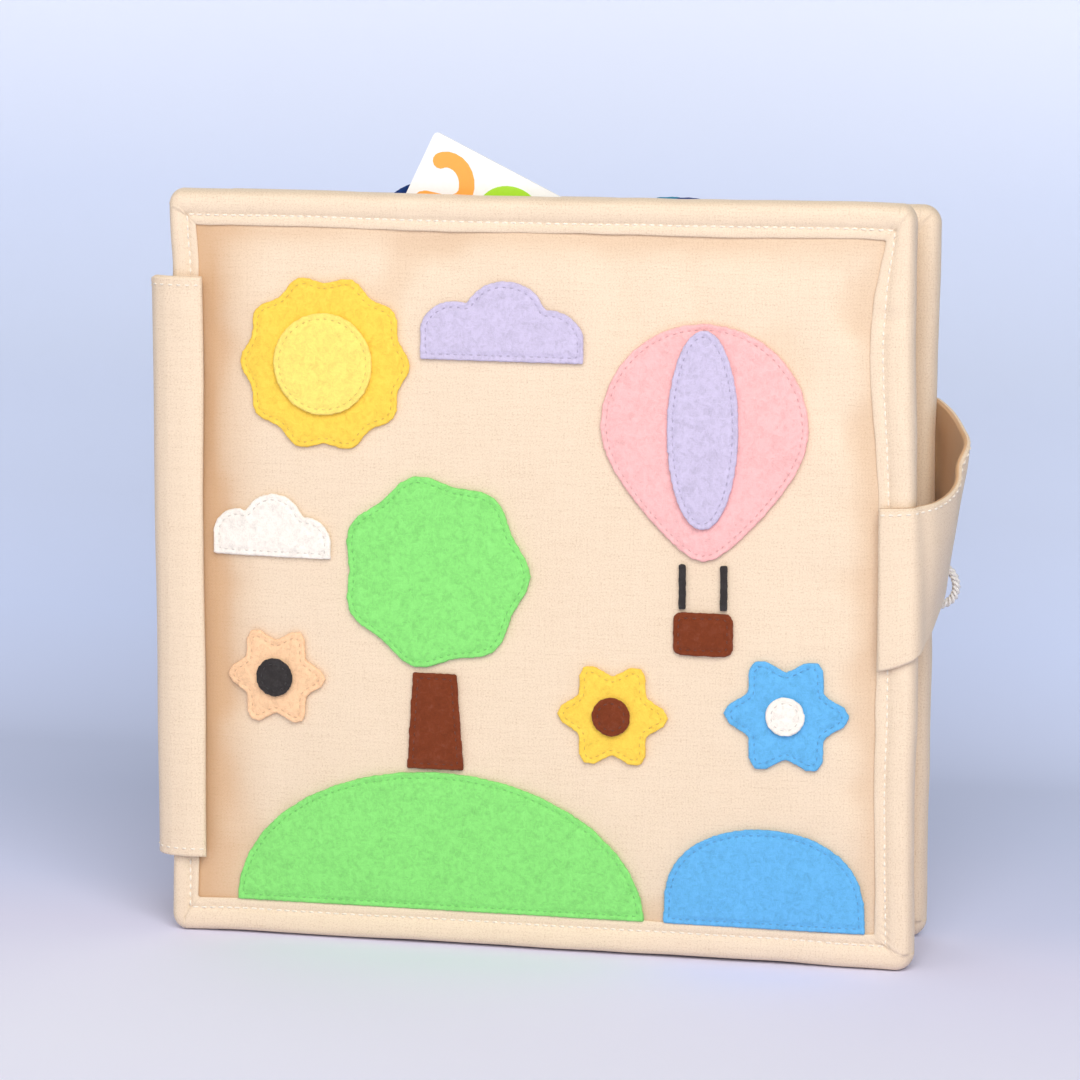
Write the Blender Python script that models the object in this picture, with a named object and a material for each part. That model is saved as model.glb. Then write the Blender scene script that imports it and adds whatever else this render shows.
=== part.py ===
# Soft cloth activity book, standing on its lower edge with the strap closed.
# Metres, +Z up. The front cover faces -Y and the spine is on the -X side.
# The origin is the middle of the floor area that the book covers.
# Pieces are drawn as x from the hinge line, y behind the front cover's edge and z above the floor.

import math

import bmesh
import bpy
from mathutils import Vector

# Covers
COVER_WIDTH = 0.200
COVER_HEIGHT = 0.200
BACK_WIDTH = 0.197
BACK_HEIGHT = 0.196
COVER_EDGE = 0.0080  # thickness over the binding
COVER_CROWN = 0.0030  # how far the padding swells the outer face
COVER_INNER_CROWN = 0.0010
COVER_CELLS = 10

# Leaves
LEAF_COUNT = 3
LEAF_WIDTH = 0.188
LEAF_HEIGHT = 0.1925
LEAF_LIFT = 0.0025  # the leaves hang clear of the floor
LEAF_EDGE = 0.0070
LEAF_CROWN = 0.0011
LEAF_CELLS = 6

# Cloth and seams
FACE_CLOTH = 0.0008
BINDING_CLOTH = 0.0010
BINDING_WIDTH = 0.0090
BINDING_NOSE = 0.0026  # how far in the rounded edge starts
BINDING_FLAT = 0.0024  # flat of the edge that the book stands on
CORNER_RADIUS = 0.0050
INNER_CORNER = 0.0006
CLOTH_TUCK = 0.0032  # from the outer edge to the cut edge of the cloth inside it
SEAT_GAP = 0.0003
FELT = 0.0012
CROWN_POWER = 2.6
CORNER_STEPS = 3
NOSE_STEPS = 3

# Spine
TURN_GAP = 0.0005  # between one panel's slab and the next
SPINE_DEPTH = 0.0056  # from the hinge line to the covers' edge
LEAF_SPINE_INSET = 0.0020
WRAP_CLOTH = 0.0018
WRAP_LOW = 0.020
WRAP_HEIGHT = 0.157
WRAP_FLAP = 0.0092  # how far the flap lies over a cover
WRAP_ROUND = 0.0046
WRAP_STEPS = 4
TAB_CLOTH = 0.0020
TAB_MARGIN = 0.004

# Closing strap
STRAP_CLOTH = 0.0018
STRAP_WIDTH = 0.0425
STRAP_LOW = 0.0795
STRAP_SLOPE = 0.34
STRAP_LOW_SLOPE = 0.45  # the same at the lower edge, as far as the back cover
STRAP_LAP = 0.0090
STRAP_REACH = 0.0090  # outermost point past the fore-edge
STRAP_TIGHT = 0.0030  # the same at the lower edge
STRAP_STEPS = 12
STRAP_ROWS = 3
ANCHOR_LENGTH = 0.034
ANCHOR_STEPS = 5
PATCH_THICKNESS = 0.0008
PATCH_LENGTH = 0.022
PATCH_INSET = 0.0050
CROWN_SAG = 0.0002  # how far a flat facet may lie from the swelled face

# Cord loop on the back cover's fore-edge, below the strap
CORD_DIAMETER = 0.0020
CORD_LOW = 0.0900
CORD_RISE = 0.0108
CORD_OUT = 0.0062
CORD_POINTS = 20
CORD_ROUND_SHARE = 0.75

# Page pockets
POCKET_TOP = 0.182
POCKET_CLOTH = 0.0008
POCKET_SEAM = 0.0036
POCKET_RAMP = 0.0012
POCKET_CATCH = 0.0045  # how far its sides lie over the binding
POCKET_CELLS = 5

# Number card in the first leaf's pocket
CARD_WIDTH = 0.058
CARD_HEIGHT = 0.086
CARD_THICKNESS = 0.0006
CARD_TILT = math.radians(26)
CARD_ROUND = 0.0012
CARD_SHOW = 0.0335  # how far its highest corner stands out of the pocket
CARD_CORNER_X = 0.0756

# Felt discs in the other leaves' pockets
DISC_RADIUS = 0.0190
DISC_LEFT_SHOW = 0.0200  # how far they stand out of the pocket
DISC_RIGHT_SHOW = 0.0168
DISC_DEEP_SHOW = 0.0160
DISC_LEFT_X = 0.0728
DISC_RIGHT_X = 0.1408
DISC_DEEP_X = 0.1345
ROUND_STEPS = 32

# Felt picture on the front cover, placed from the lower left corner of the open cloth
LAYER_GAP = 0.0006
HILL_X = 0.064
HILL_WIDTH = 0.112
HILL_HEIGHT = 0.038
HILL_POWER = 2.0
POND_X = 0.152
POND_WIDTH = 0.054
POND_HEIGHT = 0.027
POND_POWER = 3.0
MOUND_STEPS = 18
CLOUD_STEPS = 28
TRUNK_WIDTH = 0.012
TRUNK_HEIGHT = 0.026
CROWN_RADIUS = 0.026
CROWN_LOBES = 7
SUN_X = 0.034
SUN_Z = 0.146
SUN_RADIUS = 0.0235
SUN_LOBES = 10
SUN_CENTRE = 0.0135
BALLOON_X = 0.136
BALLOON_Z = 0.132
BALLOON_RADIUS = 0.0275
BALLOON_DROP = 0.0070
STRIPE_WIDTH = 0.0190
STRIPE_HEIGHT = 0.0520
BASKET_WIDTH = 0.0160
BASKET_HEIGHT = 0.0115
BASKET_ROUND = 0.0022
ROPE_WIDTH = 0.0020
ROPE_HEIGHT = 0.0120
ROPE_SPREAD = 0.0055
CLOUD_X = 0.082
CLOUD_Z = 0.148
CLOUD_WIDTH = 0.044
CLOUD_HEIGHT = 0.021
LOW_CLOUD_X = 0.0190
LOW_CLOUD_Z = 0.094
LOW_CLOUD_WIDTH = 0.0330
LOW_CLOUD_HEIGHT = 0.017
FLOWER_LOBES = 6
PEACH_FLOWER_X = 0.020
PEACH_FLOWER_Z = 0.062
PEACH_FLOWER_RADIUS = 0.0140
GOLD_FLOWER_X = 0.112
GOLD_FLOWER_Z = 0.056
GOLD_FLOWER_RADIUS = 0.0150
BLUE_FLOWER_X = 0.158
BLUE_FLOWER_Z = 0.058
BLUE_FLOWER_RADIUS = 0.0165
FLOWER_CENTRE = 0.0052

# Shares that shape the felt pieces
SCALLOP_SHARE = 0.10
PETAL_SHARE = 0.30
BUMP_SHARES = ((0.29, 0.66, 0.22), (0.02, 1.00, 0.25), (-0.29, 0.74, 0.22))
BUMP_ROUND_SHARE = 0.45
TRUNK_FOOT_SHARE = 1.3

# Colours, linear
COLOURS = {
    "cotton": (0.84, 0.68, 0.50),
    "cotton_inner": (0.80, 0.64, 0.47),
    "padding": (0.90, 0.88, 0.84),
    "pink": (0.91, 0.47, 0.52),
    "lilac": (0.62, 0.54, 0.79),
    "blue": (0.10, 0.39, 0.79),
    "green": (0.23, 0.73, 0.18),
    "gold": (0.96, 0.64, 0.08),
    "lemon": (0.97, 0.76, 0.16),
    "brown": (0.20, 0.04, 0.01),
    "charcoal": (0.03, 0.025, 0.025),
    "cream": (0.97, 0.90, 0.84),
    "peach": (0.95, 0.62, 0.38),
    "card": (0.95, 0.94, 0.92),
    "navy": (0.012, 0.04, 0.19),
    "teal": (0.03, 0.21, 0.35),
    "hook": (0.72, 0.66, 0.56),
}
CLOTH_ROUGHNESS = 0.85
CARD_ROUGHNESS = 0.45
SHARP_ANGLE = math.radians(40)


# Slabs: how far each panel's middle plane and each hinge line lie behind the front
POCKET_ROOM = SEAT_GAP + FELT + SEAT_GAP + POCKET_CLOTH
LEAF_PITCH = POCKET_ROOM + LEAF_EDGE + TURN_GAP
BACK = LEAF_COUNT + 1
CARD_TOP = POCKET_TOP + CARD_SHOW


def hinge_depth(index):
    """Depth of the gap behind a panel, 0 for the front cover. The back cover has none."""
    return COVER_EDGE + TURN_GAP / 2 + index * LEAF_PITCH


def middle_depth(index):
    if index == 0:
        return COVER_EDGE / 2
    if index == BACK:
        return hinge_depth(LEAF_COUNT) + TURN_GAP / 2 + COVER_EDGE / 2
    return hinge_depth(index) - TURN_GAP / 2 - LEAF_EDGE / 2


FORE_EDGE = SPINE_DEPTH + COVER_WIDTH
BACK_FORE_EDGE = SPINE_DEPTH + BACK_WIDTH
LEAF_START = SPINE_DEPTH + LEAF_SPINE_INSET
OVERALL_WIDTH = FORE_EDGE + STRAP_REACH
TOTAL_DEPTH = middle_depth(BACK) + COVER_EDGE / 2
COVER_LEVEL = COVER_EDGE / 2 - BINDING_CLOTH - SEAT_GAP
LEAF_LEVEL = LEAF_EDGE / 2 - BINDING_CLOTH - SEAT_GAP
PATCH_LEVEL = 2 * (SEAT_GAP + PATCH_THICKNESS) + SEAT_GAP + CROWN_SAG
FRONT_REACH = COVER_LEVEL + COVER_CROWN + 2 * (SEAT_GAP + FELT) - COVER_EDGE / 2
REAR_REACH = TOTAL_DEPTH + PATCH_LEVEL + STRAP_CLOTH
HINGE_X = -OVERALL_WIDTH / 2
FRONT_Y = (FRONT_REACH - REAR_REACH) / 2
ORIGIN = Vector((HINGE_X, FRONT_Y, 0))


def crown_share(x, z, width, height):
    """How much of the full swell a place on a panel has: none at the binding, all of it in the middle."""
    across = abs(x - width / 2) / (width / 2 - BINDING_WIDTH)
    up = abs(z - height / 2) / (height / 2 - BINDING_WIDTH)
    return max(0, 1 - across**CROWN_POWER) * max(0, 1 - up**CROWN_POWER)


def back_surface(x, z):
    """How far behind the back cover's middle plane its outermost cloth lies at a place."""
    share = crown_share(x - SPINE_DEPTH, z, BACK_WIDTH, BACK_HEIGHT)
    return max(COVER_EDGE / 2, COVER_LEVEL + COVER_CROWN * share)


def stops(start, length, cells):
    """Grid lines across a panel: the cloth's cut edges, the binding's inner edges and even cells."""
    inner = length - 2 * BINDING_WIDTH
    middle = [start + BINDING_WIDTH + inner * i / cells for i in range(cells + 1)]
    return [start + CLOTH_TUCK, *middle, start + length - CLOTH_TUCK]


# Scene, materials and objects
def clear_scene():
    for obj in list(bpy.data.objects):
        bpy.data.objects.remove(obj, do_unlink=True)


def material(name, colour, roughness):
    made = bpy.data.materials.new(name)
    made.use_nodes = True
    shader = made.node_tree.nodes["Principled BSDF"]
    shader.inputs["Base Color"].default_value = (*COLOURS[colour], 1)
    shader.inputs["Roughness"].default_value = roughness
    shader.inputs["Metallic"].default_value = 0
    return made


def place(name, data, colour, parent, roughness):
    """Links an object drawn in the book's own places under its hinge line."""
    obj = bpy.data.objects.new(name, data)
    bpy.context.scene.collection.objects.link(obj)
    data.materials.append(material(name, colour, roughness))
    obj.parent = parent
    return obj


def finish(name, mesh_data, colour, parent, roughness=CLOTH_ROUGHNESS):
    bmesh.ops.recalc_face_normals(mesh_data, faces=mesh_data.faces)
    mesh = bpy.data.meshes.new(name)
    mesh_data.to_mesh(mesh)
    mesh_data.free()
    shift = ORIGIN - parent.location if parent else ORIGIN
    for vert in mesh.vertices:
        vert.co += shift
    mesh.shade_smooth()
    mesh.set_sharp_from_angle(angle=SHARP_ANGLE)
    return place(name, mesh, colour, parent, roughness)


def pivot(name, x, y):
    empty = bpy.data.objects.new(name, None)
    bpy.context.scene.collection.objects.link(empty)
    empty.location = ORIGIN + Vector((x, y, 0))
    return empty


# Solids
def grid_solid(xs, zs, front, rear):
    """A closed sheet over a grid, between two depths given as functions of the place."""
    mesh = bmesh.new()
    sides = [[[mesh.verts.new((x, side(x, z), z)) for z in zs] for x in xs] for side in (front, rear)]
    last_x, last_z = len(xs) - 1, len(zs) - 1
    for side in sides:
        for i in range(last_x):
            for j in range(last_z):
                mesh.faces.new((side[i][j], side[i + 1][j], side[i + 1][j + 1], side[i][j + 1]))
    rim = [(i, 0) for i in range(last_x)] + [(last_x, j) for j in range(last_z)]
    rim += [(i, last_z) for i in range(last_x, 0, -1)] + [(0, j) for j in range(last_z, 0, -1)]
    for (i, j), (m, n) in zip(rim, rim[1:] + rim[:1]):
        mesh.faces.new((sides[0][i][j], sides[0][m][n], sides[1][m][n], sides[1][i][j]))
    return mesh


def rounded_rectangle(x, z, width, height, radius):
    points = []
    for right, top, quarter in ((1, 1, 0), (0, 1, 1), (0, 0, 2), (1, 0, 3)):
        centre_x = x + (width - radius if right else radius)
        centre_z = z + (height - radius if top else radius)
        for step in range(CORNER_STEPS + 1):
            angle = math.pi / 2 * (quarter + step / CORNER_STEPS)
            points.append((centre_x + radius * math.cos(angle), centre_z + radius * math.sin(angle)))
    return points


def binding_profile(edge):
    """Section of the folded strip as distance in from the edge and depth, outside then inside."""
    half = edge / 2
    flat = BINDING_FLAT / 2
    inner_half = half - BINDING_CLOTH
    inner_flat = min(flat, inner_half / 2)
    outside, inside = [(BINDING_WIDTH, -half)], [(BINDING_WIDTH, -inner_half)]
    for step in range(NOSE_STEPS + 1):
        turn = math.pi / 2 * step / NOSE_STEPS
        outside.append((BINDING_NOSE * (1 - math.sin(turn)), -flat - (half - flat) * math.cos(turn)))
    for step in range(NOSE_STEPS):
        turn = math.pi / 2 * step / (NOSE_STEPS - 1)
        inset = BINDING_CLOTH + (BINDING_NOSE - BINDING_CLOTH) * (1 - math.sin(turn))
        inside.append((inset, -inner_flat - (inner_half - inner_flat) * math.cos(turn)))
    outside += [(inset, -depth) for inset, depth in reversed(outside)]
    inside += [(inset, -depth) for inset, depth in reversed(inside)]
    return outside + inside[::-1]


def binding(name, box, middle, edge, colour, parent):
    """The strip folded over a panel's four edges, a closed ring."""
    x, z, width, height = box
    mesh = bmesh.new()
    rings = []
    for inset, depth in binding_profile(edge):
        radius = max(CORNER_RADIUS - inset, INNER_CORNER)
        across, up = width - 2 * inset, height - 2 * inset
        outline = rounded_rectangle(x + inset, z + inset, across, up, radius)
        rings.append([mesh.verts.new((px, middle + depth, pz)) for px, pz in outline])
    count = len(rings[0])
    for ring, following in zip(rings, rings[1:] + rings[:1]):
        for i in range(count):
            j = (i + 1) % count
            mesh.faces.new((ring[i], ring[j], following[j], following[i]))
    return finish(name, mesh, colour, parent)


def panel(name, box, middle, edge, level, crowns, cells, colour, parent):
    """A padded panel: two cloth faces, the padding between them and the binding round the edge."""
    x, z, width, height = box
    xs = stops(x, width, cells)
    zs = stops(z, height, cells)
    front, rear = crowns
    inside = level - FACE_CLOTH
    half = inside - SEAT_GAP

    def surface(distance, crown, side):
        return lambda px, pz: middle + side * (distance + crown * crown_share(px - x, pz - z, width, height))

    face = grid_solid(xs, zs, surface(level, front, -1), surface(inside, front, -1))
    filling = grid_solid(xs, zs, surface(half, front, -1), surface(half, rear, 1))
    lining = grid_solid(xs, zs, surface(inside, rear, 1), surface(level, rear, 1))
    finish(f"{name}_face", face, colour, parent)
    finish(f"{name}_padding", filling, "padding", parent)
    finish(f"{name}_lining", lining, colour, parent)
    binding(f"{name}_binding", box, middle, edge, colour, parent)


def flat_piece(name, outline, front, thickness, colour, parent, roughness=CLOTH_ROUGHNESS):
    """A flat sheet standing in the book's own plane, its front at a given depth."""
    mesh = bmesh.new()
    mesh.faces.new([mesh.verts.new((x, front, z)) for x, z in outline])
    grown = bmesh.ops.extrude_face_region(mesh, geom=mesh.faces[:])["geom"]
    for vert in (found for found in grown if isinstance(found, bmesh.types.BMVert)):
        vert.co.y += thickness
    return finish(name, mesh, colour, parent, roughness)


def draped_piece(name, outline, lines, surface, thickness, side, colour, parent):
    """A sheet laid on a swelled face: cut along the face's grid lines, then set on its surface."""
    mesh = bmesh.new()
    mesh.faces.new([mesh.verts.new((x, 0, z)) for x, z in outline])
    for axis, marks in zip(((1, 0, 0), (0, 0, 1)), lines):
        for mark in marks:
            parts = mesh.verts[:] + mesh.edges[:] + mesh.faces[:]
            bmesh.ops.bisect_plane(mesh, geom=parts, dist=SEAT_GAP / 10, plane_co=Vector(axis) * mark, plane_no=axis)
    bmesh.ops.triangulate(mesh, faces=mesh.faces[:])
    grown = bmesh.ops.extrude_face_region(mesh, geom=mesh.faces[:])["geom"]
    raised = {found for found in grown if isinstance(found, bmesh.types.BMVert)}
    for vert in mesh.verts:
        vert.co.y = surface(vert.co.x, vert.co.z) + side * (thickness if vert in raised else 0)
    return finish(name, mesh, colour, parent)


def prism(name, outline, low, high, colour, parent):
    """A strip of cloth seen from above, carried straight up."""
    mesh = bmesh.new()
    base = mesh.faces.new([mesh.verts.new((x, y, low)) for x, y in outline])
    grown = bmesh.ops.extrude_face_region(mesh, geom=[base])["geom"]
    for vert in (found for found in grown if isinstance(found, bmesh.types.BMVert)):
        vert.co.z = high
    return finish(name, mesh, colour, parent)


# Outlines
def circle(x, z, radius):
    angles = [math.tau * i / ROUND_STEPS for i in range(ROUND_STEPS)]
    return [(x + radius * math.cos(angle), z + radius * math.sin(angle)) for angle in angles]


def oval(x, z, width, height):
    angles = [math.tau * i / ROUND_STEPS for i in range(ROUND_STEPS)]
    return [(x + width / 2 * math.cos(angle), z + height / 2 * math.sin(angle)) for angle in angles]


def rosette(x, z, radius, lobes, share):
    """A round outline with even lobes, for a flower, a sun or a tree's crown."""
    per_lobe = 6
    points = []
    for i in range(lobes * per_lobe):
        angle = math.tau * i / (lobes * per_lobe)
        reach = radius * (1 - share * (0.5 - 0.5 * math.cos(lobes * angle)))
        points.append((x + reach * math.cos(angle), z + reach * math.sin(angle)))
    return points


def mound(x, z, width, height, power):
    """A flat base under a rounded hump."""
    points = []
    for i in range(MOUND_STEPS + 1):
        angle = math.pi * i / MOUND_STEPS
        rise = math.sin(angle) ** (2 / power)
        points.append((x + width / 2 * math.cos(angle), z + height * rise))
    return points


def cloud(x, z, width, height):
    """A flat base under three bumps, the middle one tallest."""
    points = [(x - width / 2, z), (x + width / 2, z)]
    for step in range(CLOUD_STEPS + 1):
        across = math.cos(math.pi * step / CLOUD_STEPS) / 2
        rise = 0
        for middle_share, tall_share, wide_share in BUMP_SHARES:
            rest = 1 - ((across - middle_share) / wide_share) ** 2
            if rest > 0:
                rise = max(rise, tall_share - BUMP_ROUND_SHARE * (1 - math.sqrt(rest)))
        points.append((x + width * across, z + height * rise))
    return points


def balloon(x, z, radius, drop):
    """A round envelope drawn down to a narrow mouth."""
    points = []
    for px, pz in circle(0, 0, radius):
        low = max(0, -pz / radius)
        points.append((x + px * (1 - 0.45 * low**2), z + pz - drop * low**2))
    return points


def tapered(x, z, width, height, foot_share):
    foot = width * foot_share
    return [(x - foot / 2, z), (x + foot / 2, z), (x + width / 2, z + height), (x - width / 2, z + height)]


# Spine wrap
def wrap_outline(side):
    """A cover's flap, its rounded turn and its share of the spine face, about the cover's middle."""
    half = COVER_EDGE / 2
    level = half + SEAT_GAP + WRAP_CLOTH
    seam = half + (TURN_GAP - SEAT_GAP) / 2
    end = SPINE_DEPTH + WRAP_FLAP
    outer, inner = [(end, level)], [(end, level - WRAP_CLOTH)]
    inner_round = WRAP_ROUND - WRAP_CLOTH
    for step in range(WRAP_STEPS + 1):
        turn = math.pi / 2 * step / WRAP_STEPS
        across, deep = 1 - math.sin(turn), math.cos(turn)
        outer.append((WRAP_ROUND * across, level - WRAP_ROUND + WRAP_ROUND * deep))
        inner.append((WRAP_CLOTH + inner_round * across, level - WRAP_ROUND + inner_round * deep))
    outer.append((0, -seam))
    inner.append((WRAP_CLOTH, -seam))
    return [(x, side * y) for x, y in outer + inner[::-1]]


def spine_wrap(pivots):
    top = WRAP_LOW + WRAP_HEIGHT
    for index, side, name in ((0, -1, "spine_wrap_front"), (BACK, 1, "spine_wrap_back")):
        outline = [(x, middle_depth(index) + y) for x, y in wrap_outline(side)]
        prism(name, outline, WRAP_LOW, top, "cotton", pivots[index])
    for index in range(1, LEAF_COUNT + 1):
        front = hinge_depth(index - 1) + SEAT_GAP / 2
        rear = hinge_depth(index) - SEAT_GAP / 2
        strip = [(0, front), (WRAP_CLOTH, front), (WRAP_CLOTH, rear), (0, rear)]
        prism(f"spine_wrap_leaf_{index}", strip, WRAP_LOW, top, "cotton", pivots[index])
        start, end = WRAP_CLOTH + SEAT_GAP, LEAF_START - SEAT_GAP
        near = middle_depth(index) - TAB_CLOTH / 2
        far = middle_depth(index) + TAB_CLOTH / 2
        tab = [(start, near), (end, near), (end, far), (start, far)]
        name = f"leaf_{index}_hinge_tab"
        prism(name, tab, WRAP_LOW + TAB_MARGIN, top - TAB_MARGIN, "cotton_inner", pivots[index])


# Pages
def leaf_base(index):
    """Depth of the plane just in front of a leaf's binding, where loose pieces lie."""
    return middle_depth(index) - LEAF_EDGE / 2 - SEAT_GAP


def pocket(index, inside_low, colour, parent):
    """A page's patch pocket, caught down along its sides and bottom and open at the top."""
    edge = POCKET_SEAM + POCKET_RAMP
    left = LEAF_START + BINDING_WIDTH - POCKET_CATCH
    right = LEAF_START + LEAF_WIDTH - BINDING_WIDTH + POCKET_CATCH
    low = inside_low - SEAT_GAP - edge
    width = right - left - 2 * edge
    cells = [left + edge + width * i / POCKET_CELLS for i in range(POCKET_CELLS + 1)]
    xs = [left, left + POCKET_SEAM, *cells, right - POCKET_SEAM, right]
    zs = [low, low + POCKET_SEAM, low + edge, POCKET_TOP]
    caught = leaf_base(index)
    raised = caught - FELT - SEAT_GAP

    def rear(x, z):
        inside = xs[1] < x < xs[-2] and z > zs[1]
        return raised if inside else caught

    mesh = grid_solid(xs, zs, lambda x, z: rear(x, z) - POCKET_CLOTH, rear)
    finish(f"leaf_{index}_pocket", mesh, colour, parent)


def number_card(parent):
    """A card dropped into the first pocket, tilted so that one corner stands highest."""
    corner = Vector((CARD_CORNER_X, CARD_TOP))
    along = Vector((math.cos(CARD_TILT), -math.sin(CARD_TILT)))
    down = Vector((-math.sin(CARD_TILT), -math.cos(CARD_TILT)))
    outline = []
    for px, pz in rounded_rectangle(0, 0, CARD_WIDTH, CARD_HEIGHT, CARD_ROUND):
        spot = corner + along * px + down * pz
        outline.append((spot.x, spot.y))
    low = min(z for x, z in outline)
    front = leaf_base(1) - CARD_THICKNESS
    flat_piece("number_card", outline, front, CARD_THICKNESS, "card", parent, CARD_ROUGHNESS)
    return low


def disc(name, index, x, show, colour, parent):
    middle = POCKET_TOP + show - DISC_RADIUS
    flat_piece(name, circle(x, middle, DISC_RADIUS), leaf_base(index) - FELT, FELT, colour, parent)
    return middle - DISC_RADIUS


# Closing strap
def strap_path(out):
    """Inside line of the strap's run over the fore-edge, seen from above."""
    points = [Vector((FORE_EDGE - STRAP_LAP, -SEAT_GAP)), Vector((FORE_EDGE - STRAP_LAP / 2, -SEAT_GAP))]
    start = Vector((FORE_EDGE + SEAT_GAP, -SEAT_GAP))
    depth = TOTAL_DEPTH + PATCH_LEVEL - start.y
    for step in range(STRAP_STEPS + 1):
        share = step / STRAP_STEPS
        bulge = out - STRAP_CLOTH - SEAT_GAP
        across = bulge * math.sin(math.pi * share) - (COVER_WIDTH - BACK_WIDTH) * max(0, 2 * share - 1)
        points.append(start + Vector((across, depth * share)))
    return points


def strap_rows():
    """Rows of the strap's inside surface from its lower edge to its upper one."""
    guide = strap_path(STRAP_TIGHT)
    runs = [0]
    for here, there in zip(guide, guide[1:]):
        runs.append(runs[-1] + (there - here).length)
    rows = []
    for row in range(STRAP_ROWS + 1):
        share = row / STRAP_ROWS
        out = STRAP_TIGHT + (STRAP_REACH - STRAP_TIGHT) * share
        slope = STRAP_LOW_SLOPE + (STRAP_SLOPE - STRAP_LOW_SLOPE) * share
        heights = [STRAP_LOW + STRAP_WIDTH * share + slope * run for run in runs]
        line = [(point, z) for point, z in zip(strap_path(out), heights)]
        for step in range(1, ANCHOR_STEPS + 1):
            run = ANCHOR_LENGTH * step / ANCHOR_STEPS
            x = BACK_FORE_EDGE - run
            z = heights[-1] + STRAP_SLOPE * run
            y = middle_depth(BACK) + back_surface(x, z) + PATCH_LEVEL
            line.append((Vector((x, y)), z))
        rows.append(line)
    return rows


def strap(parent):
    mesh = bmesh.new()
    grid = []
    for line in strap_rows():
        pairs = []
        for i, (point, z) in enumerate(line):
            before, after = line[max(i - 1, 0)][0], line[min(i + 1, len(line) - 1)][0]
            along = (after - before).normalized()
            outer = point + Vector((along.y, -along.x)) * STRAP_CLOTH
            pairs.append([mesh.verts.new((spot.x, spot.y, z)) for spot in (point, outer)])
        grid.append(pairs)
    last = len(grid[0]) - 1
    for side in (0, 1):
        for low, high in zip(grid, grid[1:]):
            for i in range(last):
                mesh.faces.new((low[i][side], low[i + 1][side], high[i + 1][side], high[i][side]))
    for row in (grid[0], grid[-1]):
        for i in range(last):
            mesh.faces.new((row[i][0], row[i + 1][0], row[i + 1][1], row[i][1]))
    for end in (0, last):
        for low, high in zip(grid, grid[1:]):
            mesh.faces.new((low[end][0], high[end][0], high[end][1], low[end][1]))
    bmesh.ops.triangulate(mesh, faces=mesh.faces[:])
    finish("closing_strap", mesh, "cotton", parent)


def strap_patches(strap_pivot, cover_pivot):
    """The two halves of the touch fastener between the strap's end and the back cover."""
    rows = strap_rows()
    low = rows[0][-1][1] + PATCH_INSET
    high = rows[-1][-1 - ANCHOR_STEPS][1] - PATCH_INSET
    left = BACK_FORE_EDGE - ANCHOR_LENGTH + PATCH_INSET
    outline = [(left, low), (left + PATCH_LENGTH, low), (left + PATCH_LENGTH, high), (left, high)]
    lines = (stops(SPINE_DEPTH, BACK_WIDTH, COVER_CELLS), stops(0, BACK_HEIGHT, COVER_CELLS))
    for name, layer, parent in (("strap_loop_patch", 0, cover_pivot), ("strap_hook_patch", 1, strap_pivot)):
        level = SEAT_GAP + layer * (PATCH_THICKNESS + SEAT_GAP)

        def surface(x, z, level=level):
            return middle_depth(BACK) + back_surface(x, z) + level

        draped_piece(name, outline, lines, surface, PATCH_THICKNESS, 1, "hook", parent)


# Cord loop
def cord_loop(parent):
    """A short twisted cord, both ends sewn into the back cover's binding."""
    curve = bpy.data.curves.new("cord_loop", "CURVE")
    curve.dimensions = "3D"
    curve.bevel_depth = CORD_DIAMETER / 2
    curve.bevel_resolution = 2
    curve.use_fill_caps = True
    line = curve.splines.new("POLY")
    line.points.add(CORD_POINTS - 1)
    for i, point in enumerate(line.points):
        share = i / (CORD_POINTS - 1)
        x = BACK_FORE_EDGE + SEAT_GAP + CORD_OUT * math.sin(math.pi * share) ** CORD_ROUND_SHARE
        z = CORD_LOW + CORD_RISE * (0.5 - 0.5 * math.cos(math.pi * share))
        point.co = (*(Vector((x, middle_depth(BACK), z)) + ORIGIN), 1)
    return place("cord_loop", curve, "cream", parent, CLOTH_ROUGHNESS)


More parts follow.
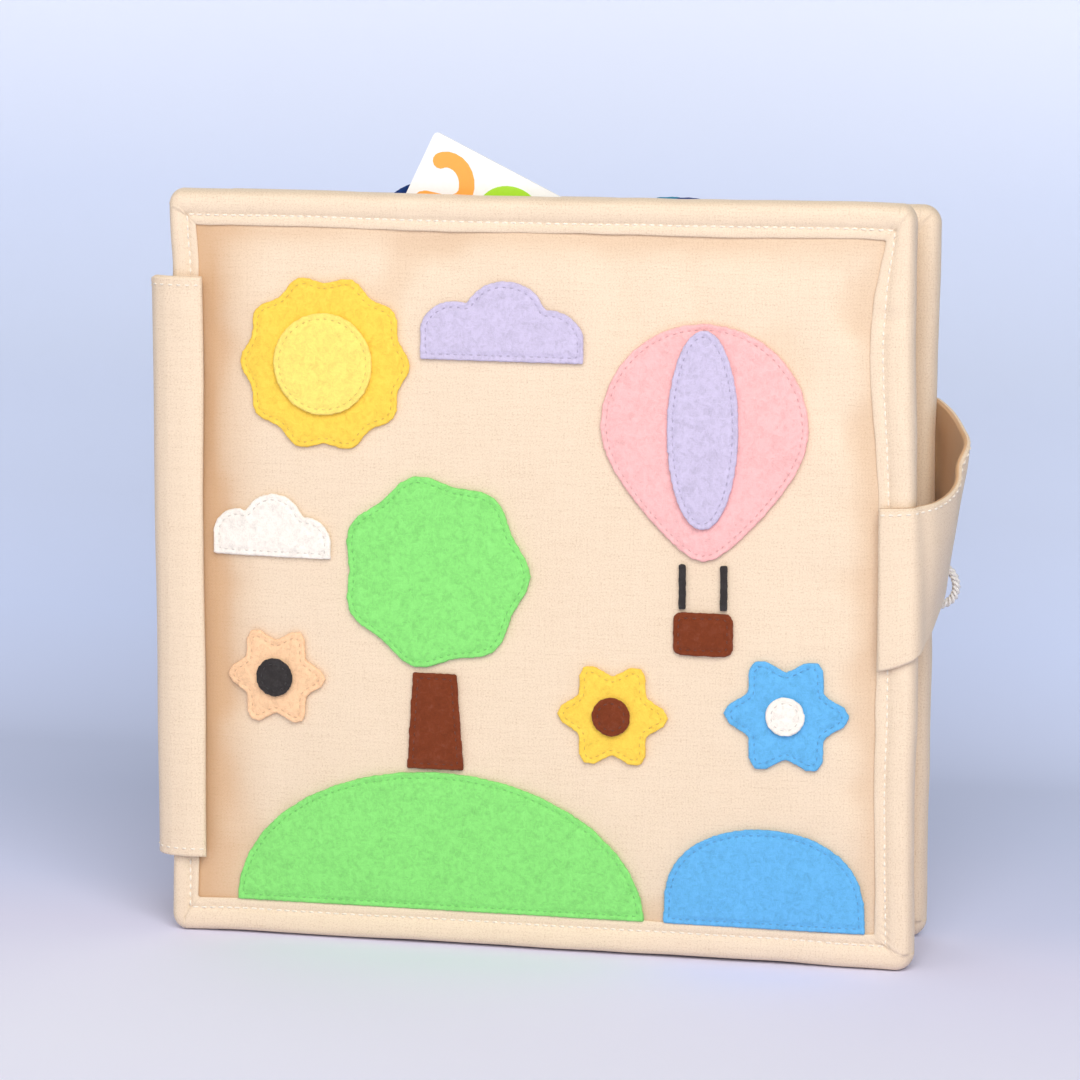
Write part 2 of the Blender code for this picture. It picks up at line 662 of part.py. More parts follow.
# Felt picture
def picture(parent):
    lines = (stops(SPINE_DEPTH, COVER_WIDTH, COVER_CELLS), stops(0, COVER_HEIGHT, COVER_CELLS))
    left, low = SPINE_DEPTH + BINDING_WIDTH, BINDING_WIDTH
    ground = low + LAYER_GAP

    def sew(name, outline, colour, layer=0):
        level = COVER_LEVEL + SEAT_GAP + layer * (FELT + SEAT_GAP)

        def surface(x, z):
            share = crown_share(x - SPINE_DEPTH, z, COVER_WIDTH, COVER_HEIGHT)
            return middle_depth(0) - level - COVER_CROWN * share

        draped_piece(name, outline, lines, surface, FELT, -1, colour, parent)

    hill_top = ground + HILL_HEIGHT + LAYER_GAP
    trunk_top = hill_top + TRUNK_HEIGHT
    sew("felt_hill", mound(left + HILL_X, ground, HILL_WIDTH, HILL_HEIGHT, HILL_POWER), "green")
    sew("felt_pond", mound(left + POND_X, ground, POND_WIDTH, POND_HEIGHT, POND_POWER), "blue")
    trunk = tapered(left + HILL_X, hill_top, TRUNK_WIDTH, TRUNK_HEIGHT, TRUNK_FOOT_SHARE)
    sew("felt_tree_trunk", trunk, "brown")
    crown_z = trunk_top + LAYER_GAP + CROWN_RADIUS
    sew("felt_tree_crown", rosette(left + HILL_X, crown_z, CROWN_RADIUS, CROWN_LOBES, SCALLOP_SHARE), "green")
    sew("felt_sun", rosette(left + SUN_X, low + SUN_Z, SUN_RADIUS, SUN_LOBES, SCALLOP_SHARE), "gold")
    sew("felt_sun_centre", circle(left + SUN_X, low + SUN_Z, SUN_CENTRE), "lemon", 1)

    x, z = left + BALLOON_X, low + BALLOON_Z
    sew("felt_balloon", balloon(x, z, BALLOON_RADIUS, BALLOON_DROP), "pink")
    sew("felt_balloon_stripe", oval(x, z, STRIPE_WIDTH, STRIPE_HEIGHT), "lilac", 1)
    rope_top = z - BALLOON_RADIUS - BALLOON_DROP - LAYER_GAP
    rope_low = rope_top - ROPE_HEIGHT
    for name, side in (("left", -1), ("right", 1)):
        rope_x = x + side * ROPE_SPREAD - ROPE_WIDTH / 2
        rope = [(rope_x, rope_low), (rope_x + ROPE_WIDTH, rope_low)]
        rope += [(rope_x + ROPE_WIDTH, rope_top), (rope_x, rope_top)]
        sew(f"felt_balloon_rope_{name}", rope, "charcoal")
    basket_low = rope_low - LAYER_GAP - BASKET_HEIGHT
    basket = rounded_rectangle(x - BASKET_WIDTH / 2, basket_low, BASKET_WIDTH, BASKET_HEIGHT, BASKET_ROUND)
    sew("felt_balloon_basket", basket, "brown")

    sew("felt_cloud", cloud(left + CLOUD_X, low + CLOUD_Z, CLOUD_WIDTH, CLOUD_HEIGHT), "lilac")
    low_cloud = cloud(left + LOW_CLOUD_X, low + LOW_CLOUD_Z, LOW_CLOUD_WIDTH, LOW_CLOUD_HEIGHT)
    sew("felt_low_cloud", low_cloud, "cream")
    flowers = (
        ("peach", PEACH_FLOWER_X, PEACH_FLOWER_Z, PEACH_FLOWER_RADIUS, "charcoal"),
        ("gold", GOLD_FLOWER_X, GOLD_FLOWER_Z, GOLD_FLOWER_RADIUS, "brown"),
        ("blue", BLUE_FLOWER_X, BLUE_FLOWER_Z, BLUE_FLOWER_RADIUS, "cream"),
    )
    for colour, flower_x, flower_z, radius, centre in flowers:
        x, z = left + flower_x, low + flower_z
        sew(f"felt_{colour}_flower", rosette(x, z, radius, FLOWER_LOBES, PETAL_SHARE), colour)
        sew(f"felt_{colour}_flower_centre", circle(x, z, FLOWER_CENTRE), centre, 1)


def main():
    clear_scene()
    pivots = [pivot(f"hinge_{index}", 0, hinge_depth(index)) for index in range(BACK)]
    pivots.append(pivot("back_cover_middle", 0, middle_depth(BACK)))
    front_box = (SPINE_DEPTH, 0, COVER_WIDTH, COVER_HEIGHT)
    back_box = (SPINE_DEPTH, 0, BACK_WIDTH, BACK_HEIGHT)
    leaf_box = (LEAF_START, LEAF_LIFT, LEAF_WIDTH, LEAF_HEIGHT)
    outer, inner = COVER_CROWN, COVER_INNER_CROWN
    cover_sizes = (COVER_EDGE, COVER_LEVEL)
    panel("front_cover", front_box, middle_depth(0), *cover_sizes, (outer, inner), COVER_CELLS, "cotton", pivots[0])
    for index in range(1, LEAF_COUNT + 1):
        sizes = (LEAF_EDGE, LEAF_LEVEL, (LEAF_CROWN, LEAF_CROWN), LEAF_CELLS)
        panel(f"leaf_{index}", leaf_box, middle_depth(index), *sizes, "cotton_inner", pivots[index])
    panel("back_cover", back_box, middle_depth(BACK), *cover_sizes, (inner, outer), COVER_CELLS, "cotton", pivots[BACK])
    spine_wrap(pivots)

    card_low = number_card(pivots[1])
    left_low = disc("navy_disc_left", 2, DISC_LEFT_X, DISC_LEFT_SHOW, "navy", pivots[2])
    right_low = disc("navy_disc_right", 2, DISC_RIGHT_X, DISC_RIGHT_SHOW, "navy", pivots[2])
    deep_low = disc("teal_disc", 3, DISC_DEEP_X, DISC_DEEP_SHOW, "teal", pivots[3])
    for index, low in ((1, card_low), (2, min(left_low, right_low)), (3, deep_low)):
        pocket(index, low, "cotton_inner", pivots[index])

    picture(pivots[0])
    strap_pivot = pivot("strap_hinge", FORE_EDGE, -SEAT_GAP)
    strap(strap_pivot)
    strap_patches(strap_pivot, pivots[BACK])
    cord_loop(None)


main()
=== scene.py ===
import math

import bmesh
import bpy
import numpy as np
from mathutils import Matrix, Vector, noise
from mathutils.bvhtree import BVHTree
from mathutils.kdtree import KDTree


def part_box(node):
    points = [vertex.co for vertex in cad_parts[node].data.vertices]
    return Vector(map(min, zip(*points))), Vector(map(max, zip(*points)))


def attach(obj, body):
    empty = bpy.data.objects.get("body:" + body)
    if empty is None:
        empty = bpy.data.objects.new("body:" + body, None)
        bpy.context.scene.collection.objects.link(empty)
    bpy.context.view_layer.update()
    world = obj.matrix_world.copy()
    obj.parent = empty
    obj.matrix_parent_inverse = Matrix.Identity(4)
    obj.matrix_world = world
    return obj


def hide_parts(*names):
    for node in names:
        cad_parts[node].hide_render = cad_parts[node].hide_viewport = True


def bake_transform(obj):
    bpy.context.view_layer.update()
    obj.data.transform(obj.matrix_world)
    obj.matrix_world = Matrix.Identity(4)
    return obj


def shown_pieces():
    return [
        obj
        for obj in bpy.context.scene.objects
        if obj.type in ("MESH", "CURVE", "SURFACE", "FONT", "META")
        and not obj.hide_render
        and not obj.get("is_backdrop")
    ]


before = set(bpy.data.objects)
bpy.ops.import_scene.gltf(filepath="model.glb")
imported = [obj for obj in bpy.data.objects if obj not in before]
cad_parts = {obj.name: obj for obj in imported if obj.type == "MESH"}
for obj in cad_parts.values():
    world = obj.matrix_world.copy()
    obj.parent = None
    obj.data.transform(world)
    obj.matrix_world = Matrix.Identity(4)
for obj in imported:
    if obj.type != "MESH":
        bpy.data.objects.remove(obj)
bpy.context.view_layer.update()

noise.seed_set(11)  # noise_vector would take its offsets from the clock

# Soft cloth activity book standing on its lower edge, strap closed.
# Metres, the front cover faces -Y, the spine is on the -X side.

mm = 0.001
coverLow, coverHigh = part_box("front_cover_binding")
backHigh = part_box("back_cover_binding")[1]
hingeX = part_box("spine_wrap_leaf_1")[0].x  # outer face of the spine
bookFront = coverLow.y  # plane of the front binding
bookRear = backHigh.y


def say(stage):
    print("quiet book:", stage, flush=True)


# Mesh helpers
def selectOnly(*objects):
    if bpy.context.object and bpy.context.object.mode != "OBJECT":
        bpy.ops.object.mode_set(mode="OBJECT")
    bpy.ops.object.select_all(action="DESELECT")
    for obj in objects:
        obj.select_set(True)
    bpy.context.view_layer.objects.active = objects[0]


def addMesh(name, points, faces):
    mesh = bpy.data.meshes.new(name)
    mesh.from_pydata([tuple(map(float, point)) for point in points], [], faces)
    mesh.shade_smooth()
    obj = bpy.data.objects.new(name, mesh)
    bpy.context.scene.collection.objects.link(obj)
    return obj


def useModifier(obj, kind, **settings):
    selectOnly(obj)
    modifier = obj.modifiers.new(kind.lower(), kind)
    for key, value in settings.items():
        setattr(modifier, key, value)
    bpy.ops.object.modifier_apply(modifier=modifier.name)


def faceOutwards(obj):
    work = bmesh.new()
    work.from_mesh(obj.data)
    bmesh.ops.recalc_face_normals(work, faces=work.faces)
    work.to_mesh(obj.data)
    work.free()


def readPoints(obj):
    flat = np.empty(len(obj.data.vertices) * 3)
    obj.data.vertices.foreach_get("co", flat)
    return flat.reshape(-1, 3)


def writePoints(obj, points):
    obj.data.vertices.foreach_set("co", np.asarray(points, float).ravel())
    obj.data.update()


def setClothMap(obj, cornerMap):
    layer = obj.data.uv_layers.new(name="cloth")
    layer.data.foreach_set("uv", np.asarray(cornerMap, float).ravel())


def setFrontMap(obj):
    # cloth map straight through from the front
    loops = np.empty(len(obj.data.loops), int)
    obj.data.loops.foreach_get("vertex_index", loops)
    setClothMap(obj, readPoints(obj)[loops][:, (0, 2)])


def copyNode(name, node, voxel):
    # closed copy of a CAD node in even small faces
    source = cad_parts[node].data
    obj = addMesh(name, [v.co for v in source.vertices], [tuple(p.vertices) for p in source.polygons])
    selectOnly(obj)
    bpy.ops.object.mode_set(mode="EDIT")
    bpy.ops.mesh.select_all(action="SELECT")
    bpy.ops.mesh.remove_doubles(threshold=0.000001)
    bpy.ops.object.mode_set(mode="OBJECT")
    useModifier(obj, "REMESH", mode="VOXEL", voxel_size=voxel, adaptivity=0, use_smooth_shade=True)
    return obj


def slabFaces(columns, rows, turned):
    # two grids of points, one behind the other, joined round their rims
    count = columns * rows
    faces = []
    for base in (0, count):
        for i in range(columns - 1):
            for j in range(rows - 1):
                first, second = base + i * rows + j, base + (i + 1) * rows + j
                quad = (first, second, second + 1, first + 1)
                faces.append(quad[::-1] if turned and base else quad)
    rim = [(i, 0) for i in range(columns - 1)] + [(columns - 1, j) for j in range(rows - 1)]
    rim += [(i, rows - 1) for i in range(columns - 1, 0, -1)] + [(0, j) for j in range(rows - 1, 0, -1)]
    for (i, j), (m, n) in zip(rim, rim[1:] + rim[:1]):
        faces.append((i * rows + j, count + i * rows + j, count + m * rows + n, m * rows + n))
    return faces


def surfaceOf(obj):
    mesh = obj.data
    return BVHTree.FromPolygons([v.co for v in mesh.vertices], [tuple(p.vertices) for p in mesh.polygons])


def wave(position, seed, length):
    # smooth noise along a line, about -1 to 1
    return 1.6 * noise.noise(Vector((position / length, seed * 7.31, seed * 1.7)))


def waves(positions, seed, length):
    return np.array([wave(p, seed, length) for p in positions])


def wavesOver(xs, zs, seed, length):
    return np.array([1.6 * noise.noise(Vector((x / length, z / length, seed * 5.3))) for x, z in zip(xs, zs)])


def smoothStep(value, low, high):
    share = np.clip((value - low) / (high - low), 0, 1)
    return share * share * (3 - 2 * share)


# A sheet drawn as a grid of points, closed round one or both ways
def gridSheet(name, points, uv, closeRows=False, closeColumns=False, caps=False):
    rows, columns = points.shape[:2]
    rowCount = rows if closeRows else rows - 1
    columnCount = columns if closeColumns else columns - 1
    faces, corners = [], []
    for i in range(rowCount):
        above = (i + 1) % rows
        for j in range(columnCount):
            beside = (j + 1) % columns
            faces.append((i * columns + j, above * columns + j, above * columns + beside, i * columns + beside))
            corners += [uv[i, j], uv[i + 1, j], uv[i + 1, j + 1], uv[i, j + 1]]
    if caps:
        first = list(range(columns))
        last = [(rows - 1) * columns + j for j in range(columns)]
        faces += [tuple(first[::-1]), tuple(last)]
        corners += [uv[0, j] for j in first[::-1]] + [uv[rows - 1, j] for j in range(columns)]
    obj = addMesh(name, points.reshape(-1, 3), faces)
    setClothMap(obj, corners)
    faceOutwards(obj)
    return obj


# Stitches, one small thread arch each
threadLook = {"across": 6, "rings": (-1.0, -0.62, 0.0, 0.62, 1.0), "swell": (0.45, 0.95, 1.0, 0.95, 0.45)}


def sewStitches(name, stitches, thick, sink=0.14):
    # stitches are (start, end, normal), each end dips into the cloth
    around = threadLook["across"]
    turns = [math.tau * k / around for k in range(around)]
    points, faces = [], []
    for start, end, normal in stitches:
        middle, half = (start + end) / 2, (end - start) / 2
        if half.length < 1e-6:
            continue
        along = half.normalized()
        side = along.cross(normal).normalized()
        up = side.cross(along).normalized()
        base = len(points)
        for place, swell in zip(threadLook["rings"], threadLook["swell"]):
            drop = (place * place) * (thick * 0.5 + sink * mm) - thick * 0.22
            centre = middle + half * place - up * drop
            radius = thick / 2 * swell
            points += [centre + side * (radius * math.cos(turn)) + up * (radius * math.sin(turn)) for turn in turns]
        rings = len(threadLook["rings"])
        for ring in range(rings - 1):
            for k in range(around):
                m = (k + 1) % around
                low = base + ring * around
                faces.append((low + k, low + m, low + around + m, low + around + k))
        faces.append(tuple(base + k for k in range(around))[::-1])
        faces.append(tuple(base + (rings - 1) * around + k for k in range(around)))
    obj = addMesh(name, points, faces)
    faceOutwards(obj)
    return obj


def walkLine(line, pitch, closed=False):
    # a way to find the spot at a distance along a line, how many pitches it holds, and its length
    loop = list(line) + ([line[0]] if closed else [])
    runs = np.concatenate([[0], np.cumsum([(b - a).length for a, b in zip(loop, loop[1:])])])
    count = max(1, int(runs[-1] / pitch))
    table = np.array([tuple(p) for p in loop])

    def at(distance):
        return Vector([float(np.interp(distance, runs, table[:, k])) for k in range(3)])

    return at, count, runs[-1]


def stitchesOn(line, surface, side, pitch, dash, closed=False, seed=0, lean=0.06):
    # a row of stitches dropped onto a surface along Y, side -1 from the front and 1 from the rear
    at, count, length = walkLine(line, pitch, closed)
    step = length / count
    found = []
    for k in range(count):
        centre = (k + 0.5) * step + 0.08 * pitch * wave(k, seed, 1.7)
        ends = []
        for share in (-0.5, 0.5):
            spot = at((centre + share * dash) % length if closed else min(max(centre + share * dash, 0), length))
            spot.x += share * lean * mm
            hit = surface.ray_cast(Vector((spot.x, spot.y + side * 0.03, spot.z)), Vector((0, -side, 0)))
            if hit[0] is None:
                break
            ends.append((hit[0], hit[1]))
        if len(ends) == 2:
            found.append((ends[0][0], ends[1][0], ends[0][1] + ends[1][1]))
    return found


# Camera
camera = {"azimuth": 14.4, "elevation": 9.1, "distance": 1.393, "lens": 178, "target": (-0.0009, -0.0233, 0.1102)}

turn, rise = math.radians(camera["azimuth"]), math.radians(camera["elevation"])
backwards = Vector((math.sin(turn) * math.cos(rise), -math.cos(turn) * math.cos(rise), math.sin(rise)))
bpy.ops.object.camera_add(location=Vector(camera["target"]) + backwards * camera["distance"])
bookCamera = bpy.context.object
bookCamera.rotation_euler = backwards.to_track_quat("Z", "Y").to_euler()
bookCamera.data.lens = camera["lens"]
bookCamera.data.sensor_width = 36
bpy.context.scene.camera = bookCamera
say("camera placed")


# Materials
def blank(name):
    material = bpy.data.materials.new(name)
    material.use_nodes = True
    return material, material.node_tree.nodes, material.node_tree.links, material.node_tree.nodes["Principled BSDF"]


def startGroup(name, inputs, outputs):
    group = bpy.data.node_groups.new(name, "ShaderNodeTree")
    for label, kind, value in inputs:
        socket = group.interface.new_socket(label, in_out="INPUT", socket_type=kind)
        if value is not None:
            socket.default_value = value
    for label, kind in outputs:
        group.interface.new_socket(label, in_out="OUTPUT", socket_type=kind)
    entry = group.nodes.new("NodeGroupInput")
    exit = group.nodes.new("NodeGroupOutput")
    return group, entry, exit


def mathNode(tree, operation, *values, clamp=False):
    node = tree.nodes.new("ShaderNodeMath")
    node.operation = operation
    node.use_clamp = clamp
    for socket, value in zip(node.inputs, values):
        if isinstance(value, (int, float)):
            socket.default_value = value
        else:
            tree.links.new(value, socket)
    return node.outputs[0]


def vectorNode(tree, operation, first, second=None, scale=None):
    node = tree.nodes.new("ShaderNodeVectorMath")
    node.operation = operation
    tree.links.new(first, node.inputs[0])
    if second is not None:
        if isinstance(second, (tuple, list)):
            node.inputs[1].default_value = second
        else:
            tree.links.new(second, node.inputs[1])
    if scale is not None:
        if isinstance(scale, (int, float)):
            node.inputs["Scale"].default_value = scale
        else:
            tree.links.new(scale, node.inputs["Scale"])
    return node.outputs[0]


def noiseNode(tree, vector, scale, detail=2.0, rough=0.5, twist=0.0):
    node = tree.nodes.new("ShaderNodeTexNoise")
    node.inputs["Scale"].default_value = scale
    node.inputs["Detail"].default_value = detail
    node.inputs["Roughness"].default_value = rough
    node.inputs["Distortion"].default_value = twist
    tree.links.new(vector, node.inputs["Vector"])
    return node.outputs["Fac"]


def weaveGroup():
    # plain weave on a flat map in metres, with uneven threads and slubs
    group, entry, exit = startGroup(
        "wovenThreads",
        [("Map", "NodeSocketVector", None), ("Thread", "NodeSocketFloat", 0.00042), ("Slub", "NodeSocketFloat", 0.5)],
        [("Height", "NodeSocketFloat"), ("Shade", "NodeSocketFloat"), ("Soft", "NodeSocketFloat")],
    )
    spot = entry.outputs["Map"]
    wander = noiseNode(group, spot, 260, 2)
    shift = group.nodes.new("ShaderNodeCombineXYZ")
    amount = mathNode(group, "MULTIPLY", mathNode(group, "SUBTRACT", wander, 0.5), 0.0009)
    group.links.new(amount, shift.inputs[0])
    group.links.new(amount, shift.inputs[1])
    moved = vectorNode(group, "ADD", spot, shift.outputs[0])
    split = group.nodes.new("ShaderNodeSeparateXYZ")
    group.links.new(moved, split.inputs[0])
    across = mathNode(group, "DIVIDE", split.outputs[0], entry.outputs["Thread"])
    up = mathNode(group, "DIVIDE", split.outputs[1], entry.outputs["Thread"])
    warp = mathNode(group, "ABSOLUTE", mathNode(group, "SINE", mathNode(group, "MULTIPLY", across, math.pi)))
    weft = mathNode(group, "ABSOLUTE", mathNode(group, "SINE", mathNode(group, "MULTIPLY", up, math.pi)))
    over = mathNode(group, "ADD", mathNode(group, "FLOOR", across), mathNode(group, "FLOOR", up))
    parity = mathNode(group, "PINGPONG", over, 1.0)
    upper = mathNode(group, "MULTIPLY", warp, mathNode(group, "ADD", mathNode(group, "MULTIPLY", weft, 0.4), 0.6))
    lower = mathNode(group, "MULTIPLY", weft, mathNode(group, "ADD", mathNode(group, "MULTIPLY", warp, 0.4), 0.6))
    pick = group.nodes.new("ShaderNodeMix")
    group.links.new(parity, pick.inputs["Factor"])
    group.links.new(upper, pick.inputs["A"])
    group.links.new(lower, pick.inputs["B"])
    threads = pick.outputs["Result"]
    longWays = noiseNode(group, vectorNode(group, "MULTIPLY", spot, (0.05, 1.0, 1.0)), 1500, 2)
    crossWays = noiseNode(group, vectorNode(group, "MULTIPLY", spot, (1.0, 0.05, 1.0)), 1500, 2)
    slubs = mathNode(group, "ADD", mathNode(group, "MULTIPLY", longWays, 0.62), mathNode(group, "MULTIPLY", crossWays, 0.38))
    uneven = mathNode(group, "MULTIPLY", mathNode(group, "SUBTRACT", slubs, 0.5), entry.outputs["Slub"])
    speck = mathNode(group, "SUBTRACT", noiseNode(group, spot, 2100, 2, 0.6), 0.5)
    rough = mathNode(group, "ADD", mathNode(group, "MULTIPLY", uneven, 2.0), mathNode(group, "MULTIPLY", speck, 1.6))
    group.links.new(mathNode(group, "ADD", threads, rough), exit.inputs["Height"])
    streaks = mathNode(group, "ADD", mathNode(group, "MULTIPLY", uneven, 2.4), mathNode(group, "MULTIPLY", speck, 1.3))
    grain = mathNode(group, "ADD", mathNode(group, "MULTIPLY", threads, 0.45), streaks)
    group.links.new(mathNode(group, "ADD", grain, 0.30, clamp=True), exit.inputs["Shade"])
    group.links.new(noiseNode(group, spot, 38, 3, 0.55), exit.inputs["Soft"])
    return group


def feltGroup():
    # tangled fibres in object space
    group, entry, exit = startGroup(
        "feltFibres",
        [("Place", "NodeSocketVector", None), ("Tangle", "NodeSocketFloat", 6.0)],
        [("Height", "NodeSocketFloat"), ("Mottle", "NodeSocketFloat")],
    )
    place = entry.outputs["Place"]
    strands = []
    for index, stretch in enumerate(((1.0, 1.0, 0.22), (0.22, 1.0, 1.0), (0.7, 1.0, 0.5))):
        turned = group.nodes.new("ShaderNodeMapping")
        turned.inputs["Rotation"].default_value = (0, 0.7 + 1.1 * index, 0)
        turned.inputs["Scale"].default_value = stretch
        group.links.new(place, turned.inputs["Vector"])
        strand = group.nodes.new("ShaderNodeTexNoise")
        strand.inputs["Scale"].default_value = 2100 - 300 * index
        strand.inputs["Detail"].default_value = 3
        group.links.new(turned.outputs[0], strand.inputs["Vector"])
        group.links.new(mathNode(group, "MULTIPLY", entry.outputs["Tangle"], 0.35), strand.inputs["Distortion"])
        strands.append(strand.outputs["Fac"])
    crossed = mathNode(group, "MAXIMUM", mathNode(group, "MAXIMUM", strands[0], strands[1]), strands[2])
    clumps = noiseNode(group, place, 520, 3, 0.6, 0.8)
    height = mathNode(group, "ADD", mathNode(group, "MULTIPLY", crossed, 0.7), mathNode(group, "MULTIPLY", clumps, 0.6))
    group.links.new(height, exit.inputs["Height"])
    tone = mathNode(group, "ADD", mathNode(group, "MULTIPLY", crossed, 0.9), mathNode(group, "MULTIPLY", clumps, 0.8))
    group.links.new(mathNode(group, "SUBTRACT", tone, 0.45, clamp=True), exit.inputs["Mottle"])
    return group


def twistGroup():
    # the turns of a sewing thread or cord, slanting across it
    group, entry, exit = startGroup(
        "threadTurns",
        [("Place", "NodeSocketVector", None), ("Turns", "NodeSocketFloat", 900.0)],
        [("Height", "NodeSocketFloat"), ("Fluff", "NodeSocketFloat")],
    )
    split = group.nodes.new("ShaderNodeSeparateXYZ")
    group.links.new(entry.outputs["Place"], split.inputs[0])
    slant = mathNode(group, "ADD", split.outputs[0], split.outputs[2])
    slant = mathNode(group, "ADD", slant, mathNode(group, "MULTIPLY", split.outputs[1], 0.6))
    turns = mathNode(group, "MULTIPLY", mathNode(group, "MULTIPLY", slant, entry.outputs["Turns"]), math.tau)
    group.links.new(mathNode(group, "SINE", turns), exit.inputs["Height"])
    group.links.new(noiseNode(group, entry.outputs["Place"], 1800, 2), exit.inputs["Fluff"])
    return group


wovenThreads, feltFibres, threadTurns = weaveGroup(), feltGroup(), twistGroup()


def addGroup(nodes, group, **values):
    node = nodes.new("ShaderNodeGroup")
    node.node_tree = group
    for key, value in values.items():
        node.inputs[key].default_value = value
    return node


def toneRamp(nodes, links, factor, stops):
    ramp = nodes.new("ShaderNodeValToRGB")
    while len(ramp.color_ramp.elements) < len(stops):
        ramp.color_ramp.elements.new(0.5)
    for element, (place, colour) in zip(ramp.color_ramp.elements, stops):
        element.position = place
        element.color = (*colour, 1)
    links.new(factor, ramp.inputs["Fac"])
    return ramp.outputs["Color"]


def mixColours(nodes, links, factor, first, second, blend="MIX"):
    mix = nodes.new("ShaderNodeMix")
    mix.data_type = "RGBA"
    mix.blend_type = blend
    for value, socket in ((factor, mix.inputs["Factor"]), (first, mix.inputs["A"]), (second, mix.inputs["B"])):
        if isinstance(value, (int, float)):
            socket.default_value = value
        elif isinstance(value, tuple):
            socket.default_value = (*value, 1)
        else:
            links.new(value, socket)
    return mix.outputs["Result"]


def bump(nodes, links, height, strength, distance):
    node = nodes.new("ShaderNodeBump")
    node.inputs["Strength"].default_value = strength
    node.inputs["Distance"].default_value = distance
    links.new(height, node.inputs["Height"])
    return node.outputs["Normal"]


def scaled(colour, factor):
    return tuple(min(1.0, c * factor) for c in colour)


def cottonMaterial(name, light, deep, thread=0.00036, slub=0.26, sheen=0.18, crease=0.0):
    material, nodes, links, shader = blank(name)
    flatMap = nodes.new("ShaderNodeUVMap")
    flatMap.uv_map = "cloth"
    weave = addGroup(nodes, wovenThreads, Thread=thread, Slub=slub)
    links.new(flatMap.outputs[0], weave.inputs["Map"])
    tone = toneRamp(nodes, links, weave.outputs["Shade"], ((0.0, deep), (0.5, light), (1.0, scaled(light, 1.05))))
    soft = mathNode(material.node_tree, "MULTIPLY", weave.outputs["Soft"], 0.12)
    colour = mixColours(nodes, links, soft, tone, deep)
    # painted shade: where the crease attribute is set, the colour is mixed towards a darker, saturated tone that stands
    # in for the shade and bounced light by the binding, in hollows and inside the strap
    if crease:
        fold = nodes.new("ShaderNodeAttribute")
        fold.attribute_name = "crease"
        depth = mathNode(material.node_tree, "MULTIPLY", fold.outputs["Fac"], crease)
        colour = mixColours(nodes, links, depth, colour, paintedShadeTone)
    links.new(colour, shader.inputs["Base Color"])
    spread = nodes.new("ShaderNodeMapRange")
    spread.inputs["To Min"].default_value, spread.inputs["To Max"].default_value = 0.62, 0.44
    links.new(weave.outputs["Shade"], spread.inputs["Value"])
    links.new(spread.outputs["Result"], shader.inputs["Roughness"])
    links.new(bump(nodes, links, weave.outputs["Height"], 0.34, 0.00012), shader.inputs["Normal"])
    shader.inputs["Sheen Weight"].default_value = sheen
    shader.inputs["Sheen Roughness"].default_value = 0.45
    shader.inputs["Sheen Tint"].default_value = (1.0, 0.94, 0.86, 1)
    shader.inputs["Specular IOR Level"].default_value = 0.7
    return material


def feltMaterial(name, colour, deepen=0.72, lift=1.12):
    material, nodes, links, shader = blank(name)
    place = nodes.new("ShaderNodeTexCoord").outputs["Object"]
    fibres = addGroup(nodes, feltFibres, Tangle=6.0)
    links.new(place, fibres.inputs["Place"])
    paler = tuple(min(1.0, c * lift + 0.03) for c in colour)
    tone = toneRamp(nodes, links, fibres.outputs["Mottle"], ((0.10, scaled(colour, deepen)), (0.50, colour), (0.95, paler)))
    links.new(tone, shader.inputs["Base Color"])
    links.new(bump(nodes, links, fibres.outputs["Height"], 0.6, 0.00035), shader.inputs["Normal"])
    shader.inputs["Roughness"].default_value = 0.95
    shader.inputs["Sheen Weight"].default_value = 0.22
    shader.inputs["Sheen Roughness"].default_value = 0.55
    shader.inputs["Sheen Tint"].default_value = (*[0.5 + 0.5 * c for c in colour], 1)
    shader.inputs["Specular IOR Level"].default_value = 0.15
    return material


def threadMaterial(name, colour, turns=900.0, sheen=0.3):
    material, nodes, links, shader = blank(name)
    place = nodes.new("ShaderNodeTexCoord").outputs["Object"]
    twist = addGroup(nodes, threadTurns, Turns=turns)
    links.new(place, twist.inputs["Place"])
    tone = toneRamp(nodes, links, twist.outputs["Fluff"], ((0.3, scaled(colour, 0.86)), (0.7, colour)))
    links.new(tone, shader.inputs["Base Color"])
    links.new(bump(nodes, links, twist.outputs["Height"], 0.4, 0.00008), shader.inputs["Normal"])
    shader.inputs["Roughness"].default_value = 0.6
    shader.inputs["Sheen Weight"].default_value = sheen
    return material


# the third tone is painted shade, mixed into the cotton through the crease attribute
cottonLight, cottonDeep, paintedShadeTone = (0.84, 0.675, 0.50), (0.59, 0.40, 0.245), (0.60, 0.33, 0.145)
cotton = cottonMaterial("satinCotton", cottonLight, cottonDeep)
paintedShadeCotton = cottonMaterial("satinCottonPaintedShade", cottonLight, cottonDeep, crease=1.0)
leafCotton = cottonMaterial("leafCotton", (0.84, 0.645, 0.46), (0.70, 0.50, 0.33), thread=0.00042, slub=0.35, sheen=0.15)
whiteThread = threadMaterial("whiteThread", (0.93, 0.83, 0.70))
leafThread = threadMaterial("leafThread", (0.90, 0.83, 0.74))
cordCotton = threadMaterial("cordCotton", (0.93, 0.90, 0.86), turns=1400.0)

